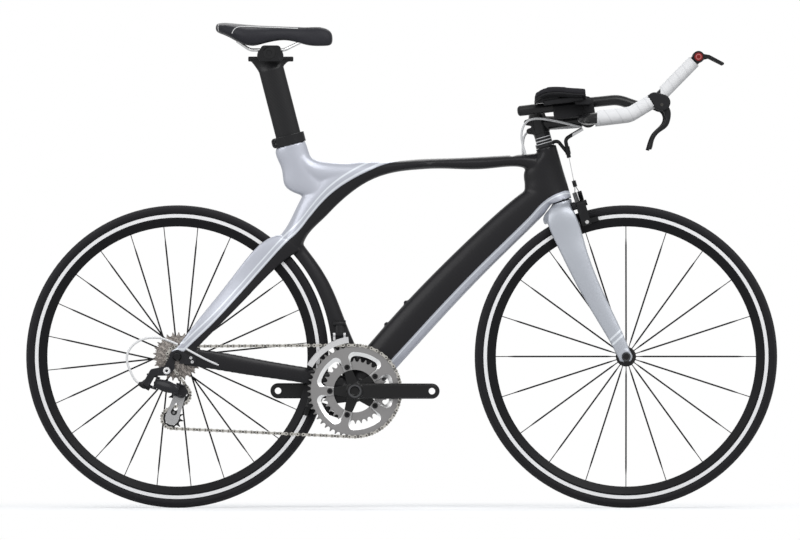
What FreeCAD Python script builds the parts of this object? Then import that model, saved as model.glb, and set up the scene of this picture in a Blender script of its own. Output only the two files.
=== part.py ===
import FreeCAD, Part
import math
import os
import Sketcher
from FreeCAD import Placement, Rotation, Vector

# A time trial bicycle in millimetres. +X points forward, +Y to the rider's left and +Z up.
# The origin is on the ground, midway between the two axles. The drive side is -Y.

SIZES = (
    ("wheelbase", 990, "rear axle to front axle"),
    ("tyre_radius", 334, "axle to tread"),
    ("tyre_width", 23, "section of the tyre"),
    ("tyre_casing", 1.8, "thickness of the tyre wall"),
    ("rim_radius", 316, "outer edge of the rim flanges"),
    ("rim_depth", 29, "flange edge to inner edge"),
    ("track_depth", 13, "height of the brake track"),
    ("rim_width", 19, "across the brake tracks"),
    ("rim_wall", 1.6, "wall of the rim"),
    ("rim_nose", 7, "width of the rim's inner edge"),
    ("rim_bed", 5.5, "flange edge to tyre bed"),
    ("spoke_radius", 1.1, "radius of a spoke"),
    ("spoke_seat", 2, "spoke end inside rim and flange"),
    ("front_spokes", 20, "spokes in the front wheel"),
    ("rear_spokes", 24, "spokes in the rear wheel"),
    ("front_hub_width", 100, "between the fork tips"),
    ("rear_hub_width", 130, "between the dropouts"),
    ("front_flange_gap", 64, "between the front hub's flanges"),
    ("rear_flange_left", 34, "rear left flange from the centre plane"),
    ("rear_flange_right", 17, "rear right flange from the centre plane"),
    ("flange_radius", 22, "hub flange radius"),
    ("flange_width", 3.6, "hub flange thickness"),
    ("barrel_radius", 13, "hub barrel radius"),
    ("axle_radius", 5, "wheel axle radius"),
    ("skewer_radius", 2.4, "quick-release rod radius"),
    ("locknut_radius", 8.5, "axle locknut radius"),
    ("locknut_width", 6, "axle locknut thickness"),
    ("nut_radius", 10, "quick-release nut radius"),
    ("nut_width", 9, "quick-release nut length"),
    ("qr_lever_length", 52, "quick-release lever length"),
    ("running_gap", 0.05, "radial gap of a turning fit"),
    ("slide_gap", 0.15, "gap of a sliding fit"),
    ("part_gap", 0.3, "gap between pieces that move past each other"),
    ("dropout_width", 7, "thickness of dropouts and fork tips"),
    ("bb_drop", 76, "bottom bracket below the axles"),
    ("chainstay_length", 399, "bottom bracket to rear axle"),
    ("shell_width", 68, "bottom bracket shell width"),
    ("shell_radius", 25, "bottom bracket shell radius"),
    ("spindle_radius", 12, "crank spindle radius"),
    ("cup_radius", 22, "bottom bracket cup radius"),
    ("cup_width", 7, "bottom bracket cup outside the shell"),
    ("cup_sleeve", 17, "radius of the cup's sleeve in the shell"),
    ("head_angle", 74, "steering axis from the ground, degrees"),
    ("seat_angle", 75.5, "seat axis from the ground, degrees"),
    ("fork_rake", 43, "axle ahead of the steering axis"),
    ("fork_length", 369, "crown race to axle, along the steering axis"),
    ("head_length", 125, "head tube length"),
    ("steerer_radius", 14.3, "steerer tube radius"),
    ("bearing_radius", 19, "headset bearing outer radius"),
    ("bearing_height", 7, "headset bearing height"),
    ("top_tube_width", 38, "top tube across"),
    ("down_tube_width", 44, "down tube across"),
    ("seat_tube_width", 32, "seat tube across"),
    ("mast_height", 562, "bottom bracket to the seat mast's top"),
    ("mast_width", 35, "seat mast across"),
    ("wheel_gap", 7, "tyre tread to frame and fork"),
    ("slot_half", 17, "half the wheel slot in frame and fork"),
    ("post_depth", 56, "seatpost fore and aft"),
    ("post_width", 25, "seatpost across"),
    ("post_height", 733.5, "bottom bracket to the post's shoulder"),
    ("post_insert", 48, "post below the mast's top, at its rear"),
    ("clamp_height", 22, "seat clamp band height"),
    ("clamp_wall", 7, "seat clamp band wall"),
    ("rail_radius", 3.5, "saddle rail radius"),
    ("rail_spread", 22, "saddle rails from the centre plane"),
    ("saddle_width", 134, "saddle across"),
    ("chain_pitch", 12.7, "pin to pin"),
    ("roller_radius", 3.87, "chain roller radius"),
    ("seat_radius", 4.1, "tooth gap radius"),
    ("tooth_height", 3.3, "tooth tip above the pitch circle"),
    ("big_ring_teeth", 50, "outer chainring teeth"),
    ("small_ring_teeth", 34, "inner chainring teeth"),
    ("big_ring_line", 47, "outer chainring from the centre plane"),
    ("small_ring_line", 39.5, "inner chainring from the centre plane"),
    ("ring_plate", 3.6, "chainring plate thickness"),
    ("tooth_plate", 1.8, "tooth thickness"),
    ("bolt_circle", 110, "chainring bolt circle diameter"),
    ("crank_length", 170, "bottom bracket to pedal hole"),
    ("crank_height", 30, "crank arm height"),
    ("crank_plate", 13, "crank arm thickness"),
    ("crank_line", 60, "crank arm's inner face from the centre plane"),
    ("pedal_radius", 7.14, "pedal thread radius"),
    ("cog_line", 59.5, "smallest cog from the centre plane"),
    ("cog_pitch", 3.95, "cog to cog"),
    ("cog_plate", 1.6, "cog thickness"),
    ("freehub_radius", 17.4, "freehub body radius"),
    ("pulley_teeth", 11, "derailleur pulley teeth"),
    ("cage_reach", 62, "cage pivot to tension pulley"),
    ("cage_guide", 7, "cage pivot to guide pulley"),
    ("cage_half", 5.2, "pulley plane to cage plate"),
    ("rail_link", 50, "rear derailleur link length"),
    ("bar_radius", 11.9, "base bar radius"),
    ("bar_reach", 205, "base bar ends from the centre plane"),
    ("tape_wall", 4.4, "bar tape thickness"),
    ("extension_tape", 3.4, "extension tape thickness"),
    ("extension_radius", 11.1, "extension bar radius"),
    ("extension_line", 55, "extensions from the centre plane"),
    ("pad_line", 92, "arm pads from the centre plane"),
    ("pad_width", 78, "arm pad across"),
    ("housing_radius", 2.5, "cable housing radius"),
    ("wire_radius", 0.8, "cable radius"),
    ("pad_gap", 2.5, "brake pad to rim"),
)

COGS = (11, 12, 13, 14, 15, 17, 19, 21, 23, 25)
OVAL_FULLNESS = 0.62
ROUNDING = 0.45
SIDE = Vector(0, 1, 0)
UP = Vector(0, 0, 1)

DOC = FreeCAD.newDocument("time_trial_bike")
SHEET = DOC.addObject("Spreadsheet::Sheet", "dims")
for row, (alias, value, note) in enumerate(SIZES, start=1):
    SHEET.set(f"A{row}", note)
    SHEET.set(f"B{row}", str(value))
    SHEET.setAlias(f"B{row}", alias)
DOC.recompute()
NODES = []


def dim(alias):
    return float(SHEET.get(alias))


def polar(degrees):
    angle = math.radians(degrees)
    return Vector(math.cos(angle), 0, math.sin(angle))


# Reference points and axes that every piece is placed from.
REAR = Vector(-dim("wheelbase") / 2, 0, dim("tyre_radius"))
FRONT = Vector(dim("wheelbase") / 2, 0, dim("tyre_radius"))
BB = REAR + Vector(math.sqrt(dim("chainstay_length") ** 2 - dim("bb_drop") ** 2), 0, -dim("bb_drop"))
HEAD_UP = polar(180 - dim("head_angle"))
HEAD_FORWARD = polar(90 - dim("head_angle"))
CROWN = FRONT - HEAD_FORWARD * dim("fork_rake") + HEAD_UP * dim("fork_length")
SEAT_UP = polar(180 - dim("seat_angle"))
SEAT_FORWARD = polar(90 - dim("seat_angle"))
RIGHT_DROPOUT = -dim("rear_hub_width") / 2
HANGER_FACE = RIGHT_DROPOUT - dim("dropout_width") - 5


def steer(up, forward, side=0.0):
    return CROWN + HEAD_UP * up + HEAD_FORWARD * forward + SIDE * side


def seat(up, forward, side=0.0):
    return BB + SEAT_UP * up + SEAT_FORWARD * forward + SIDE * side


def off(anchor, forward, up, side=0.0):
    return anchor + Vector(forward, side, up)


def between(first, second, share):
    return first + (second - first) * share


# Shape helpers.

def oval(first, second, width, across=SIDE, fullness=OVAL_FULLNESS):
    """Closed four-arc section whose long chord runs from first to second."""
    centre = (first + second) * 0.5
    chord = second - first
    half_chord = chord.Length / 2
    half_width = width / 2
    along = chord.normalize()
    upright = half_chord >= half_width
    short_half = min(half_chord, half_width)
    long_half = max(half_chord, half_width, 1.0005 * short_half)
    slender = min(1.0, long_half / short_half - 1)
    tip = short_half * (1 - (1 - fullness) * slender)
    flank = ((long_half - tip) ** 2 + short_half ** 2 - tip ** 2) / (2 * (short_half - tip))
    lean = math.atan2(flank - short_half, long_half - tip)
    corner_long = long_half - tip + tip * math.cos(lean)
    corner_short = tip * math.sin(lean)
    corner = (corner_long, corner_short) if upright else (corner_short, corner_long)
    half_chord, half_width = (long_half, short_half) if upright else (short_half, long_half)

    def at(chord_part, width_part):
        return centre + along * chord_part + across * width_part

    corners = [at(sx * corner[0], sy * corner[1]) for sx, sy in ((1, -1), (1, 1), (-1, 1), (-1, -1))]
    middles = [at(half_chord, 0), at(0, half_width), at(-half_chord, 0), at(0, -half_width)]
    edges = []
    for index in range(4):
        edges.append(Part.Arc(corners[index], middles[index], corners[(index + 1) % 4]).toShape())
    return Part.Wire(edges)


def loft(sections, ruled=False):
    return Part.makeLoft(sections, True, ruled)


def mirrored(shape):
    return shape.mirror(Vector(0, 0, 0), SIDE)


def fused(shapes):
    return shapes[0].multiFuse(shapes[1:]) if len(shapes) > 1 else shapes[0]


def largest(shape):
    return max(shape.Solids, key=lambda solid: solid.Volume)


def rod(start, end, radius):
    return Part.makeCylinder(radius, (end - start).Length, start, end - start)


def pin(point, side_from, side_to, radius):
    """Cylinder across the bike through a point of the centre plane."""
    low = min(side_from, side_to)
    return Part.makeCylinder(radius, abs(side_to - side_from), Vector(point.x, low, point.z), SIDE)


def strap(first, first_radius, second, second_radius, side_from, side_to):
    """Flat bar parallel to the centre plane: the outline is drawn tight round two circles."""
    run = second - first
    heading = math.atan2(run.z, run.x)
    spread = math.acos((first_radius - second_radius) / math.hypot(run.x, run.z))

    def rim_point(centre, radius, angle):
        return Vector(centre.x + radius * math.cos(angle), side_from, centre.z + radius * math.sin(angle))

    a = rim_point(first, first_radius, heading + spread)
    b = rim_point(first, first_radius, heading + math.pi)
    c = rim_point(first, first_radius, heading - spread)
    d = rim_point(second, second_radius, heading - spread)
    e = rim_point(second, second_radius, heading)
    f = rim_point(second, second_radius, heading + spread)
    edges = [
        Part.Arc(a, b, c).toShape(),
        Part.LineSegment(c, d).toShape(),
        Part.Arc(d, e, f).toShape(),
        Part.LineSegment(f, a).toShape(),
    ]
    return Part.Face(Part.Wire(edges)).extrude(SIDE * (side_to - side_from))


def rounded_path(points, bend=None):
    """Straight runs joined by tangent arcs, each as large as its runs or the bend allow."""
    edges = []
    start = points[0]
    for before, corner, after in zip(points, points[1:], points[2:]):
        back = before - corner
        ahead = after - corner
        half_turn = (math.pi - back.getAngle(ahead)) / 2
        reach = ROUNDING * min(back.Length, ahead.Length)
        if bend:
            reach = min(reach, bend * math.tan(half_turn))
        radius = reach / math.tan(half_turn)
        back.normalize()
        ahead.normalize()
        inward = (back + ahead).normalize()
        first = corner + back * reach
        last = corner + ahead * reach
        middle = corner + inward * (radius / math.cos(half_turn) - radius)
        edges.append(Part.LineSegment(start, first).toShape())
        edges.append(Part.Arc(first, middle, last).toShape())
        start = last
    edges.append(Part.LineSegment(start, points[-1]).toShape())
    return Part.Wire(edges)


def tube(points, radius, bend=None):
    if len(points) == 2:
        return rod(points[0], points[1], radius)
    path = rounded_path(points, bend)
    ring = Part.Wire([Part.makeCircle(radius, points[0], points[1] - points[0])])
    return path.makePipeShell([ring], True, True)


def block(low, high):
    size = high - low
    return Part.makeBox(size.x, size.y, size.z, low)


def socket_bolt(seat_point, outward, head_radius, head_height, shank_radius, shank_length):
    """Cap bolt with a hexagon socket, head outside the seat and shank inside."""
    head = Part.makeCylinder(head_radius, head_height, seat_point, outward)
    shank = Part.makeCylinder(shank_radius, shank_length, seat_point, outward * -1)
    key = head_radius * 0.55
    turn = Rotation(UP, outward)
    corners = []
    for index in range(7):
        angle = math.radians(60 * index)
        corner = Vector(key * math.cos(angle), key * math.sin(angle), 0)
        corners.append(seat_point + outward * (head_height * 0.4) + turn.multVec(corner))
    drive = Part.Face(Part.makePolygon(corners)).extrude(outward * head_height)
    return head.fuse(shank).cut(drive)


# Document helpers.

def node(label, shapes, placement=None):
    """A sub-part whose shape comes from the functions above."""
    feature = DOC.addObject("Part::Feature", label)
    feature.Shape = shapes[0] if len(shapes) == 1 else Part.makeCompound(shapes)
    if placement:
        feature.Placement = placement
    feature.Label = label
    NODES.append(feature)
    return feature


def collected(label, members):
    """A sub-part made of several document objects, each a solid of its own."""
    group = DOC.addObject("Part::Compound", label)
    group.Links = members
    group.Label = label
    NODES.append(group)
    return group


def cylinder(name, radius, height, placement):
    piece = DOC.addObject("Part::Cylinder", name)
    piece.setExpression("Radius", radius)
    piece.setExpression("Height", height)
    piece.Placement = placement
    return piece


def ring(name, outer, inner, height, placement):
    """A plain ring: two bound cylinders, one cut from the other."""
    cut = DOC.addObject("Part::Cut", name)
    cut.Base = cylinder(f"{name}_outside", outer, height, placement)
    cut.Tool = cylinder(f"{name}_bore", inner, height, placement)
    return cut


def lathe(name, profiles, placement):
    """A turned body. Each profile is a closed loop of (radius, along) expressions.

    The first profile is turned into the solid and the next ones are grooves in it.
    """
    body = DOC.addObject("PartDesign::Body", name)
    plane = [item for item in body.Origin.OriginFeatures if item.Role == "XZ_Plane"][0]
    for number, profile in enumerate(profiles):
        sketch = body.newObject("Sketcher::SketchObject", f"{name}_profile_{number}")
        sketch.AttachmentSupport = [(plane, "")]
        sketch.MapMode = "FlatFace"
        draw_loop(sketch, profile)
        DOC.recompute()
        kind = "PartDesign::Groove" if number else "PartDesign::Revolution"
        turned = body.newObject(kind, f"{name}_turned_{number}")
        turned.Profile = sketch
        turned.ReferenceAxis = (sketch, ["V_Axis"])
        turned.Angle = 360
        DOC.recompute()
    body.Placement = placement
    body.Label = name
    return body


def draw_loop(sketch, profile):
    """Closed loop of lines, each corner held to the sheet by its two coordinates."""
    count = len(profile)
    rough = []
    for index in range(count):
        angle = 2 * math.pi * index / count
        rough.append(Vector(200 + 80 * math.cos(angle), 100 + 80 * math.sin(angle), 0))
    for index in range(count):
        sketch.addGeometry(Part.LineSegment(rough[index], rough[(index + 1) % count]), False)
    for index in range(count):
        sketch.addConstraint(Sketcher.Constraint("Coincident", index, 2, (index + 1) % count, 1))
    for index, corner in enumerate(profile):
        for kind, axis, text in zip(("DistanceX", "DistanceY"), (-2, -1), corner):
            if text == "0":
                sketch.addConstraint(Sketcher.Constraint("PointOnObject", index, 1, axis))
                continue
            number = sketch.addConstraint(Sketcher.Constraint(kind, -1, 1, index, 1, 50.0))
            sketch.setExpression(f"Constraints[{number}]", text)


def across(point, side):
    """Placement that turns a part's own Z axis to +Y, starting at the given side."""
    return Placement(Vector(point.x, side, point.z), Rotation(UP, SIDE))


# Wheels.

def tyre_section(centre_radius):
    half = dim("tyre_width") / 2
    inner = half - dim("tyre_casing")
    flange = dim("rim_radius") + 0.2
    bead = dim("rim_radius") - 3.2
    bead_side = dim("rim_width") / 2 - dim("rim_wall") - 0.1
    outer_side = math.sqrt(half ** 2 - (flange - centre_radius) ** 2)
    inner_side = math.sqrt(inner ** 2 - (flange - centre_radius) ** 2)

    def at(radius, side):
        return Vector(radius, side, 0)

    corners = [at(flange, -outer_side), at(flange, -bead_side), at(bead, -bead_side),
               at(bead, 1.6 - bead_side), at(flange, -inner_side)]
    edges = [Part.Arc(at(flange, outer_side), at(centre_radius + half, 0), corners[0]).toShape()]
    for first, second in zip(corners, corners[1:]):
        edges.append(Part.LineSegment(first, second).toShape())
    edges.append(Part.Arc(corners[-1], at(centre_radius + inner, 0), at(flange, inner_side)).toShape())
    back = [Vector(corner.x, -corner.y, 0) for corner in reversed(corners)]
    for first, second in zip(back, back[1:]):
        edges.append(Part.LineSegment(first, second).toShape())
    return Part.Wire(edges)


def make_tyre(label, axle):
    section = tyre_section(dim("tyre_radius") - dim("tyre_width") / 2)
    tyre = Part.Face(section).revolve(Vector(0, 0, 0), SIDE, 360)
    node(label, [tyre], Placement(axle, Rotation()))


def make_rim(label, axle):
    """Deep box-section rim: brake tracks, a tyre channel and a hollow below it."""
    outer = "dims.rim_radius"
    inner = f"{outer} - dims.rim_depth"
    track = f"{outer} - dims.track_depth"
    bed = f"{outer} - dims.rim_bed"
    wide = "dims.rim_width"
    wall = "dims.rim_wall"
    far_wall = f"{wide} - {wall}"
    low_nose = f"({wide} - dims.rim_nose) / 2"
    high_nose = f"({wide} + dims.rim_nose) / 2"
    skin = [(inner, low_nose), (inner, high_nose), (track, wide), (outer, wide), (outer, far_wall),
            (bed, far_wall), (bed, wall), (outer, wall), (outer, "0"), (track, "0")]
    floor = f"{bed} - {wall}"
    nose = f"{inner} + {wall}"
    hollow = [(nose, f"{low_nose} + {wall} / 2"), (nose, f"{high_nose} - {wall} / 2"),
              (track, far_wall), (floor, far_wall), (floor, wall), (track, wall)]
    NODES.append(lathe(label, [skin, hollow], across(axle, -dim("rim_width") / 2)))


def make_front_hub():
    length = "(dims.front_hub_width - 2 * dims.locknut_width)"
    near = f"({length} - dims.front_flange_gap - dims.flange_width) / 2"
    far = f"({length} + dims.front_flange_gap - dims.flange_width) / 2"
    wide = "dims.flange_width"
    barrel = "dims.barrel_radius"
    flange = "dims.flange_radius"
    bore = "dims.axle_radius + dims.running_gap"
    loop = [(bore, "0"), (f"{barrel} - 2", "0"), (barrel, "3"), (barrel, near), (flange, near),
            (flange, f"{near} + {wide}"), (barrel, f"{near} + 2 * {wide}"), (barrel, f"{far} - {wide}"),
            (flange, far), (flange, f"{far} + {wide}"), (barrel, f"{far} + {wide}"), (barrel, f"{length} - 3"),
            (f"{barrel} - 2", length), (bore, length)]
    start = dim("locknut_width") - dim("front_hub_width") / 2
    NODES.append(lathe("front_hub", [loop], across(FRONT, start)))


def make_rear_hub():
    """Shell from the left locknut to the freehub, measured from its right end."""
    right = "(dims.rear_flange_right + dims.flange_width)"
    length = f"(dims.rear_hub_width / 2 - dims.locknut_width + {right})"
    left = f"({right} + dims.rear_flange_left - dims.flange_width / 2)"
    wide = "dims.flange_width"
    barrel = "dims.barrel_radius"
    flange = "dims.flange_radius"
    bore = "dims.axle_radius + dims.running_gap"
    near = f"{wide} / 2"
    loop = [(bore, "0"), (barrel, "0"), (barrel, near), (flange, near), (flange, f"{near} + {wide}"),
            (barrel, f"{near} + 2 * {wide}"), (barrel, f"{left} - {wide}"), (flange, left),
            (flange, f"{left} + {wide}"), (barrel, f"{left} + {wide}"), (barrel, f"{length} - 4"),
            (f"{barrel} - 3", length), (bore, length)]
    start = -dim("rear_flange_right") - dim("flange_width")
    NODES.append(lathe("rear_hub", [loop], across(REAR, start)))


def spoke(axle, hub_angle, rim_angle, flange_side):
    hub_radius = dim("flange_radius") - dim("spoke_seat") - dim("spoke_radius")
    rim_radius = dim("rim_radius") - dim("rim_depth") + dim("spoke_seat")
    start = axle + polar(hub_angle) * hub_radius + SIDE * flange_side
    end = axle + polar(rim_angle) * rim_radius + SIDE * (math.copysign(1.0, flange_side))
    return rod(start, end, dim("spoke_radius"))


def make_front_spokes():
    count = int(dim("front_spokes"))
    spokes = []
    for index in range(count):
        angle = 90 + 360 * index / count
        side = dim("front_flange_gap") / 2 * (1 if index % 2 else -1)
        spokes.append(spoke(FRONT, angle, angle, side))
    node("front_spokes", spokes)


def make_rear_spokes():
    """Left spokes are radial. Right spokes cross two others, passing each side of the flange."""
    count = int(dim("rear_spokes"))
    first_angle = 81
    crossing = 720 / (count / 2)
    spokes = []
    for index in range(count):
        angle = first_angle + 360 * index / count
        if index % 2:
            spokes.append(spoke(REAR, angle, angle, dim("rear_flange_left")))
            continue
        way = 1 if index % 4 else -1
        side = -dim("rear_flange_right") + way * (dim("flange_width") / 2 - 0.2)
        spokes.append(spoke(REAR, angle + way * crossing, angle, side))
    node("rear_spokes", spokes)


def make_axle(label, axle, width, left_locknut, right_locknut):
    """Hollow axle with its locknuts, and the skewer with its nut and the lever's cam."""
    half = width / 2
    outer = half + dim("dropout_width")
    reach = outer - 1
    body = pin(axle, -reach, reach, dim("axle_radius"))
    body = body.fuse(pin(axle, half - left_locknut, half, dim("locknut_radius")))
    body = body.fuse(pin(axle, -half, right_locknut - half, dim("locknut_radius")))
    body = body.cut(pin(axle, -reach, reach, dim("skewer_radius") + dim("running_gap")))
    face = -outer if label == "front_axle" else HANGER_FACE
    skewer = pin(axle, face - dim("nut_width"), outer + 6, dim("skewer_radius"))
    nut = Part.makeCone(dim("nut_radius"), dim("nut_radius") * 0.7, dim("nut_width"),
                        Vector(axle.x, face, axle.z), SIDE * -1)
    heading = polar(QR_HEADINGS[label])
    yoke = [pin(axle, outer, outer + 7, dim("nut_radius") + 1)]
    heart = Vector(axle.x, outer + 7 + QR_RISE, axle.z)
    cross = heading.cross(SIDE)
    for hand in (-1, 1):
        near = heart + cross * (hand * (QR_HALF + dim("part_gap")))
        far = near + cross * (hand * 2.6)
        yoke.append(rod(near, far, 5))
        yoke.append(ear_post(near, far, heading))
    yoke.append(rod(heart - cross * (QR_HALF + 1), heart + cross * (QR_HALF + 1), 2.2))
    node(label, [body, fused([skewer, nut] + yoke)])


QR_HEADINGS = {"front_axle": 118, "rear_axle": 20}
QR_RISE = 7.0
QR_HALF = 6.5


def ear_post(near, far, heading):
    """Foot of one ear of the quick-release yoke, down to its base disc."""
    low = (near + far) * 0.5 - SIDE * (QR_RISE + 0.5)
    thick = (far - near).Length
    box = Part.makeBox(8, thick, QR_RISE + 0.5, Vector(-4, -thick / 2, 0))
    box.Placement = Placement(low, Rotation(heading, SIDE.cross(heading), SIDE, "ZXY"))
    return box


def make_qr_lever(label, axle_label, axle, width):
    """Curved lever on the yoke's cross pin. Closed, it lies along the wheel."""
    base = width / 2 + dim("dropout_width") + 7
    heading = polar(QR_HEADINGS[axle_label])
    cross = heading.cross(SIDE)
    heart = Vector(axle.x, base + QR_RISE, axle.z)
    stations = ((3, 12, 10), (20, 13, 6), (38, 15, 5), (dim("qr_lever_length"), 11, 4))
    sections = []
    for along, wide, thick in stations:
        middle = heart + heading * along + SIDE * (0.003 * along ** 2)
        sections.append(oval(middle - cross * (wide / 2), middle + cross * (wide / 2), thick, SIDE, 0.8))
    hub = rod(heart - cross * QR_HALF, heart + cross * QR_HALF, QR_RISE - 0.6)
    lever = fused([hub, loft(sections)])
    for hand in (-1, 1):
        near = heart + cross * (hand * (QR_HALF + dim("part_gap") / 2))
        lever = lever.cut(rod(near, near + cross * (hand * 6), 12))
    lever = lever.cut(rod(heart - cross * 20, heart + cross * 20, 2.2 + dim("running_gap")))
    node(label, [largest(lever)])


# Frame.

def wheel_slot(axle):
    radius = dim("tyre_radius") + dim("wheel_gap")
    return pin(axle, -dim("slot_half"), dim("slot_half"), radius)


def crown_room(gap):
    """Turned space round the steering axis in which the fork crown can swing."""
    profile = [steer(gap, 0), steer(gap, 23), steer(-24 + gap, 50 + gap), steer(-120, 50 + gap),
               steer(-120, 0)]
    edges = []
    for first, second in zip(profile, profile[1:] + profile[:1]):
        edges.append(Part.LineSegment(first, second).toShape())
    return Part.Face(Part.Wire(edges)).revolve(CROWN, HEAD_UP, 360)


def head_tube():
    top = dim("head_length")
    stations = ((top, -23.5, 23.5, 47), (top - 16, -26, 23.5, 47), (top - 36, -57, 23.5, 47),
                (60, -67, 23.5, 48), (34, -72, 24, 50), (6, -45, 24, 50), (0, -30, 24, 50))
    return loft([oval(steer(up, rear), steer(up, front), wide) for up, rear, front, wide in stations])


def top_tube():
    """Top tube that sweeps down behind the seat mast and widens into the stays."""
    wide = dim("top_tube_width")
    top = dim("head_length")
    front = ((steer(top - 8, -22), steer(top - 56, -40), wide + 4),
             (steer(top - 3, -49), steer(top - 33, -57), wide + 2),
             (steer(top + 3.5, -79), steer(top - 21, -86), wide))
    arch = ((seat(467, 224), seat(444, 218), wide), (seat(479, 170), seat(443, 159), wide),
            (seat(489, 120), seat(431, 115), wide), (seat(485, 57), seat(409, 68), wide + 2),
            (seat(442, -8), seat(382, 22), wide + 4), (seat(405, -40), seat(361, -12), wide + 8),
            (seat(376, -71), seat(342, -29), wide + 14), (seat(374, -104), seat(318, -58), wide + 20))
    middle = (between(front[2][0], arch[0][0], 0.5), between(front[2][1], arch[0][1], 0.5), wide)
    return loft([oval(upper, lower, across_width) for upper, lower, across_width in front + (middle,) + arch])


def seat_mast():
    stations = ((dim("mast_height"), -34, 31), (520, -34.5, 36), (496, -36, 46), (478, -36.5, 56),
                (464, -28, 61), (450, -10, 63), (437, 8, 62))
    return loft([oval(seat(up, rear), seat(up, front), dim("mast_width")) for up, rear, front in stations])


def mast_gusset():
    """Web that carries the mast's front edge in a hollow curve to the top tube."""
    wide = dim("mast_width")
    rows = ((seat(538, 30), seat(505, -5), wide - 3), (seat(518, 41), seat(476, 12), wide - 2),
            (seat(505, 65), seat(455, 45), wide - 1), (seat(495.5, 93), seat(448, 82), wide),
            (seat(487, 128), seat(445, 122), wide - 1))
    return loft([oval(upper, lower, across_width) for upper, lower, across_width in rows])


def post_foot():
    """Height at which the post's slanted lower end starts."""
    return dim("mast_height") - dim("post_insert") - 42


def seat_tube():
    wide = dim("seat_tube_width")
    stations = ((350, -72, -32), (298, -60, -11), (240, -48, 6.5), (180, -36, 15.5), (120, -25, 23),
                (0, -24, 24))
    return loft([oval(seat(up, rear), seat(up, front), wide) for up, rear, front in stations])


def down_tube_stations():
    wide = dim("down_tube_width")
    head = (steer(34, -99), steer(-27, -60))
    shell = (off(BB, -22, 42), off(BB, 28, -22))
    rows = [(steer(50, -55), steer(4, -8), wide + 4), (head[0], head[1], wide + 2)]
    for share, bow in ((0.2, 8), (0.62, 11), (0.79, 7)):
        lift = Vector(-0.7, 0, 0.7) * bow
        upper = between(head[0], shell[0], share) + lift
        lower = between(head[1], shell[1], share) + lift * 0.5
        rows.append((upper, lower, wide + 8 * share))
    rows.append((shell[0], shell[1], wide + 12))
    return rows


def bottle_bolt_places():
    """Two bolts 64 mm apart on the down tube's upper edge, with their outward direction."""
    rows = down_tube_stations()
    first = rows[3][0]
    along = (rows[4][0] - first).normalize()
    outward = (along.cross(SIDE)).normalize()
    if outward.z < 0:
        outward = outward * -1
    return [(first + along * step, outward) for step in (0, 64)]


def brake_local(axle, angle):
    """Radial and tangential unit vectors of a brake that sits at this angle round a wheel."""
    return polar(angle), polar(angle + 90)


REAR_BRAKE_ANGLE = -19
FRONT_BRAKE_ANGLE = 107
PIVOT_RADIUS = dim("tyre_radius") + 17
PIVOT_SIDE = 27
HORN_TIP = 12
HORN_RISE = 24
STRADDLE_RISE = 50


def rear_brake_bridge():
    """Bridge behind the bottom bracket, with the two posts that the rear brake arms turn on."""
    radial, tangent = brake_local(REAR, REAR_BRAKE_ANGLE)
    heart = REAR + radial * (PIVOT_RADIUS + 4) + tangent * 21
    pieces = [strap(heart, 9, BB, 22, -PIVOT_SIDE - 4, PIVOT_SIDE + 4)]
    for side in (-PIVOT_SIDE, PIVOT_SIDE):
        start = REAR + radial * PIVOT_RADIUS + tangent * 16 + SIDE * side
        pieces.append(rod(start, start - tangent * 32, 4))
        pieces.append(rod(start - tangent * 29.3, start - tangent * 32, 6.5))
    return pieces


# How far the mast's bore goes on below the post, which the post can slide into.
POST_DROP = 34


def post_prism(gap, low, high):
    """Straight length of the seatpost's section with a slanted lower end."""
    half = dim("post_depth") / 2 + gap
    section = oval(seat(low, -half - 1), seat(low, half - 1), dim("post_width") + 2 * gap)
    prism = Part.Face(section).extrude(SEAT_UP * (high - low))
    slant = 0.7
    corners = [seat(low - 1, -half - 9), seat(low + 1 + slant * (2 * half + 10), -half - 9),
               seat(low - 1, half + 1)]
    wedge = Part.Face(Part.makePolygon(corners + corners[:1])).extrude(SIDE * 80)
    wedge.translate(SIDE * -40)
    return prism.cut(wedge)


def make_main_frame():
    shell = pin(BB, -dim("shell_width") / 2, dim("shell_width") / 2, dim("shell_radius"))
    down = loft([oval(upper, lower, wide) for upper, lower, wide in down_tube_stations()])
    body = fused([head_tube(), top_tube(), seat_mast(), mast_gusset(), seat_tube(), down, shell]
                 + rear_brake_bridge())
    top = dim("head_length")
    bearing = dim("bearing_radius")
    height = dim("bearing_height")
    reach = dim("shell_width")
    tools = [wheel_slot(REAR), crown_room(dim("part_gap") + 0.4), rod(steer(-5, 0), steer(top + 5, 0), 15.2),
             rod(steer(top - height, 0), steer(top + 5, 0), bearing),
             rod(steer(-20, 0), steer(height + 1, 0), bearing), pin(BB, -reach, reach, dim("cup_sleeve")),
             post_prism(dim("slide_gap"), post_foot() - POST_DROP, dim("mast_height") + 10),
             block_above(steer(top, 0))]
    bolts = []
    for point, outward in bottle_bolt_places():
        tools.append(rod(point - outward * 14, point + outward * 8, 2.5))
        bolts.append(socket_bolt(point + outward * 0.6, outward, 4.4, 4, 2.45, 11))
    frame = body
    for tool in tools:
        frame = frame.cut(tool)
    frame = largest(frame)
    node("main_frame", [frame] + bolts)
    return frame


def block_above(point):
    """Space above the head tube's top face."""
    box = Part.makeBox(160, 120, 60, Vector(-80, -60, 0))
    box.Placement = Placement(point, Rotation(UP, HEAD_UP))
    return box


def stay_section(outer, lower, side, thick):
    return oval(outer + SIDE * side, lower + SIDE * side, thick)


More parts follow.
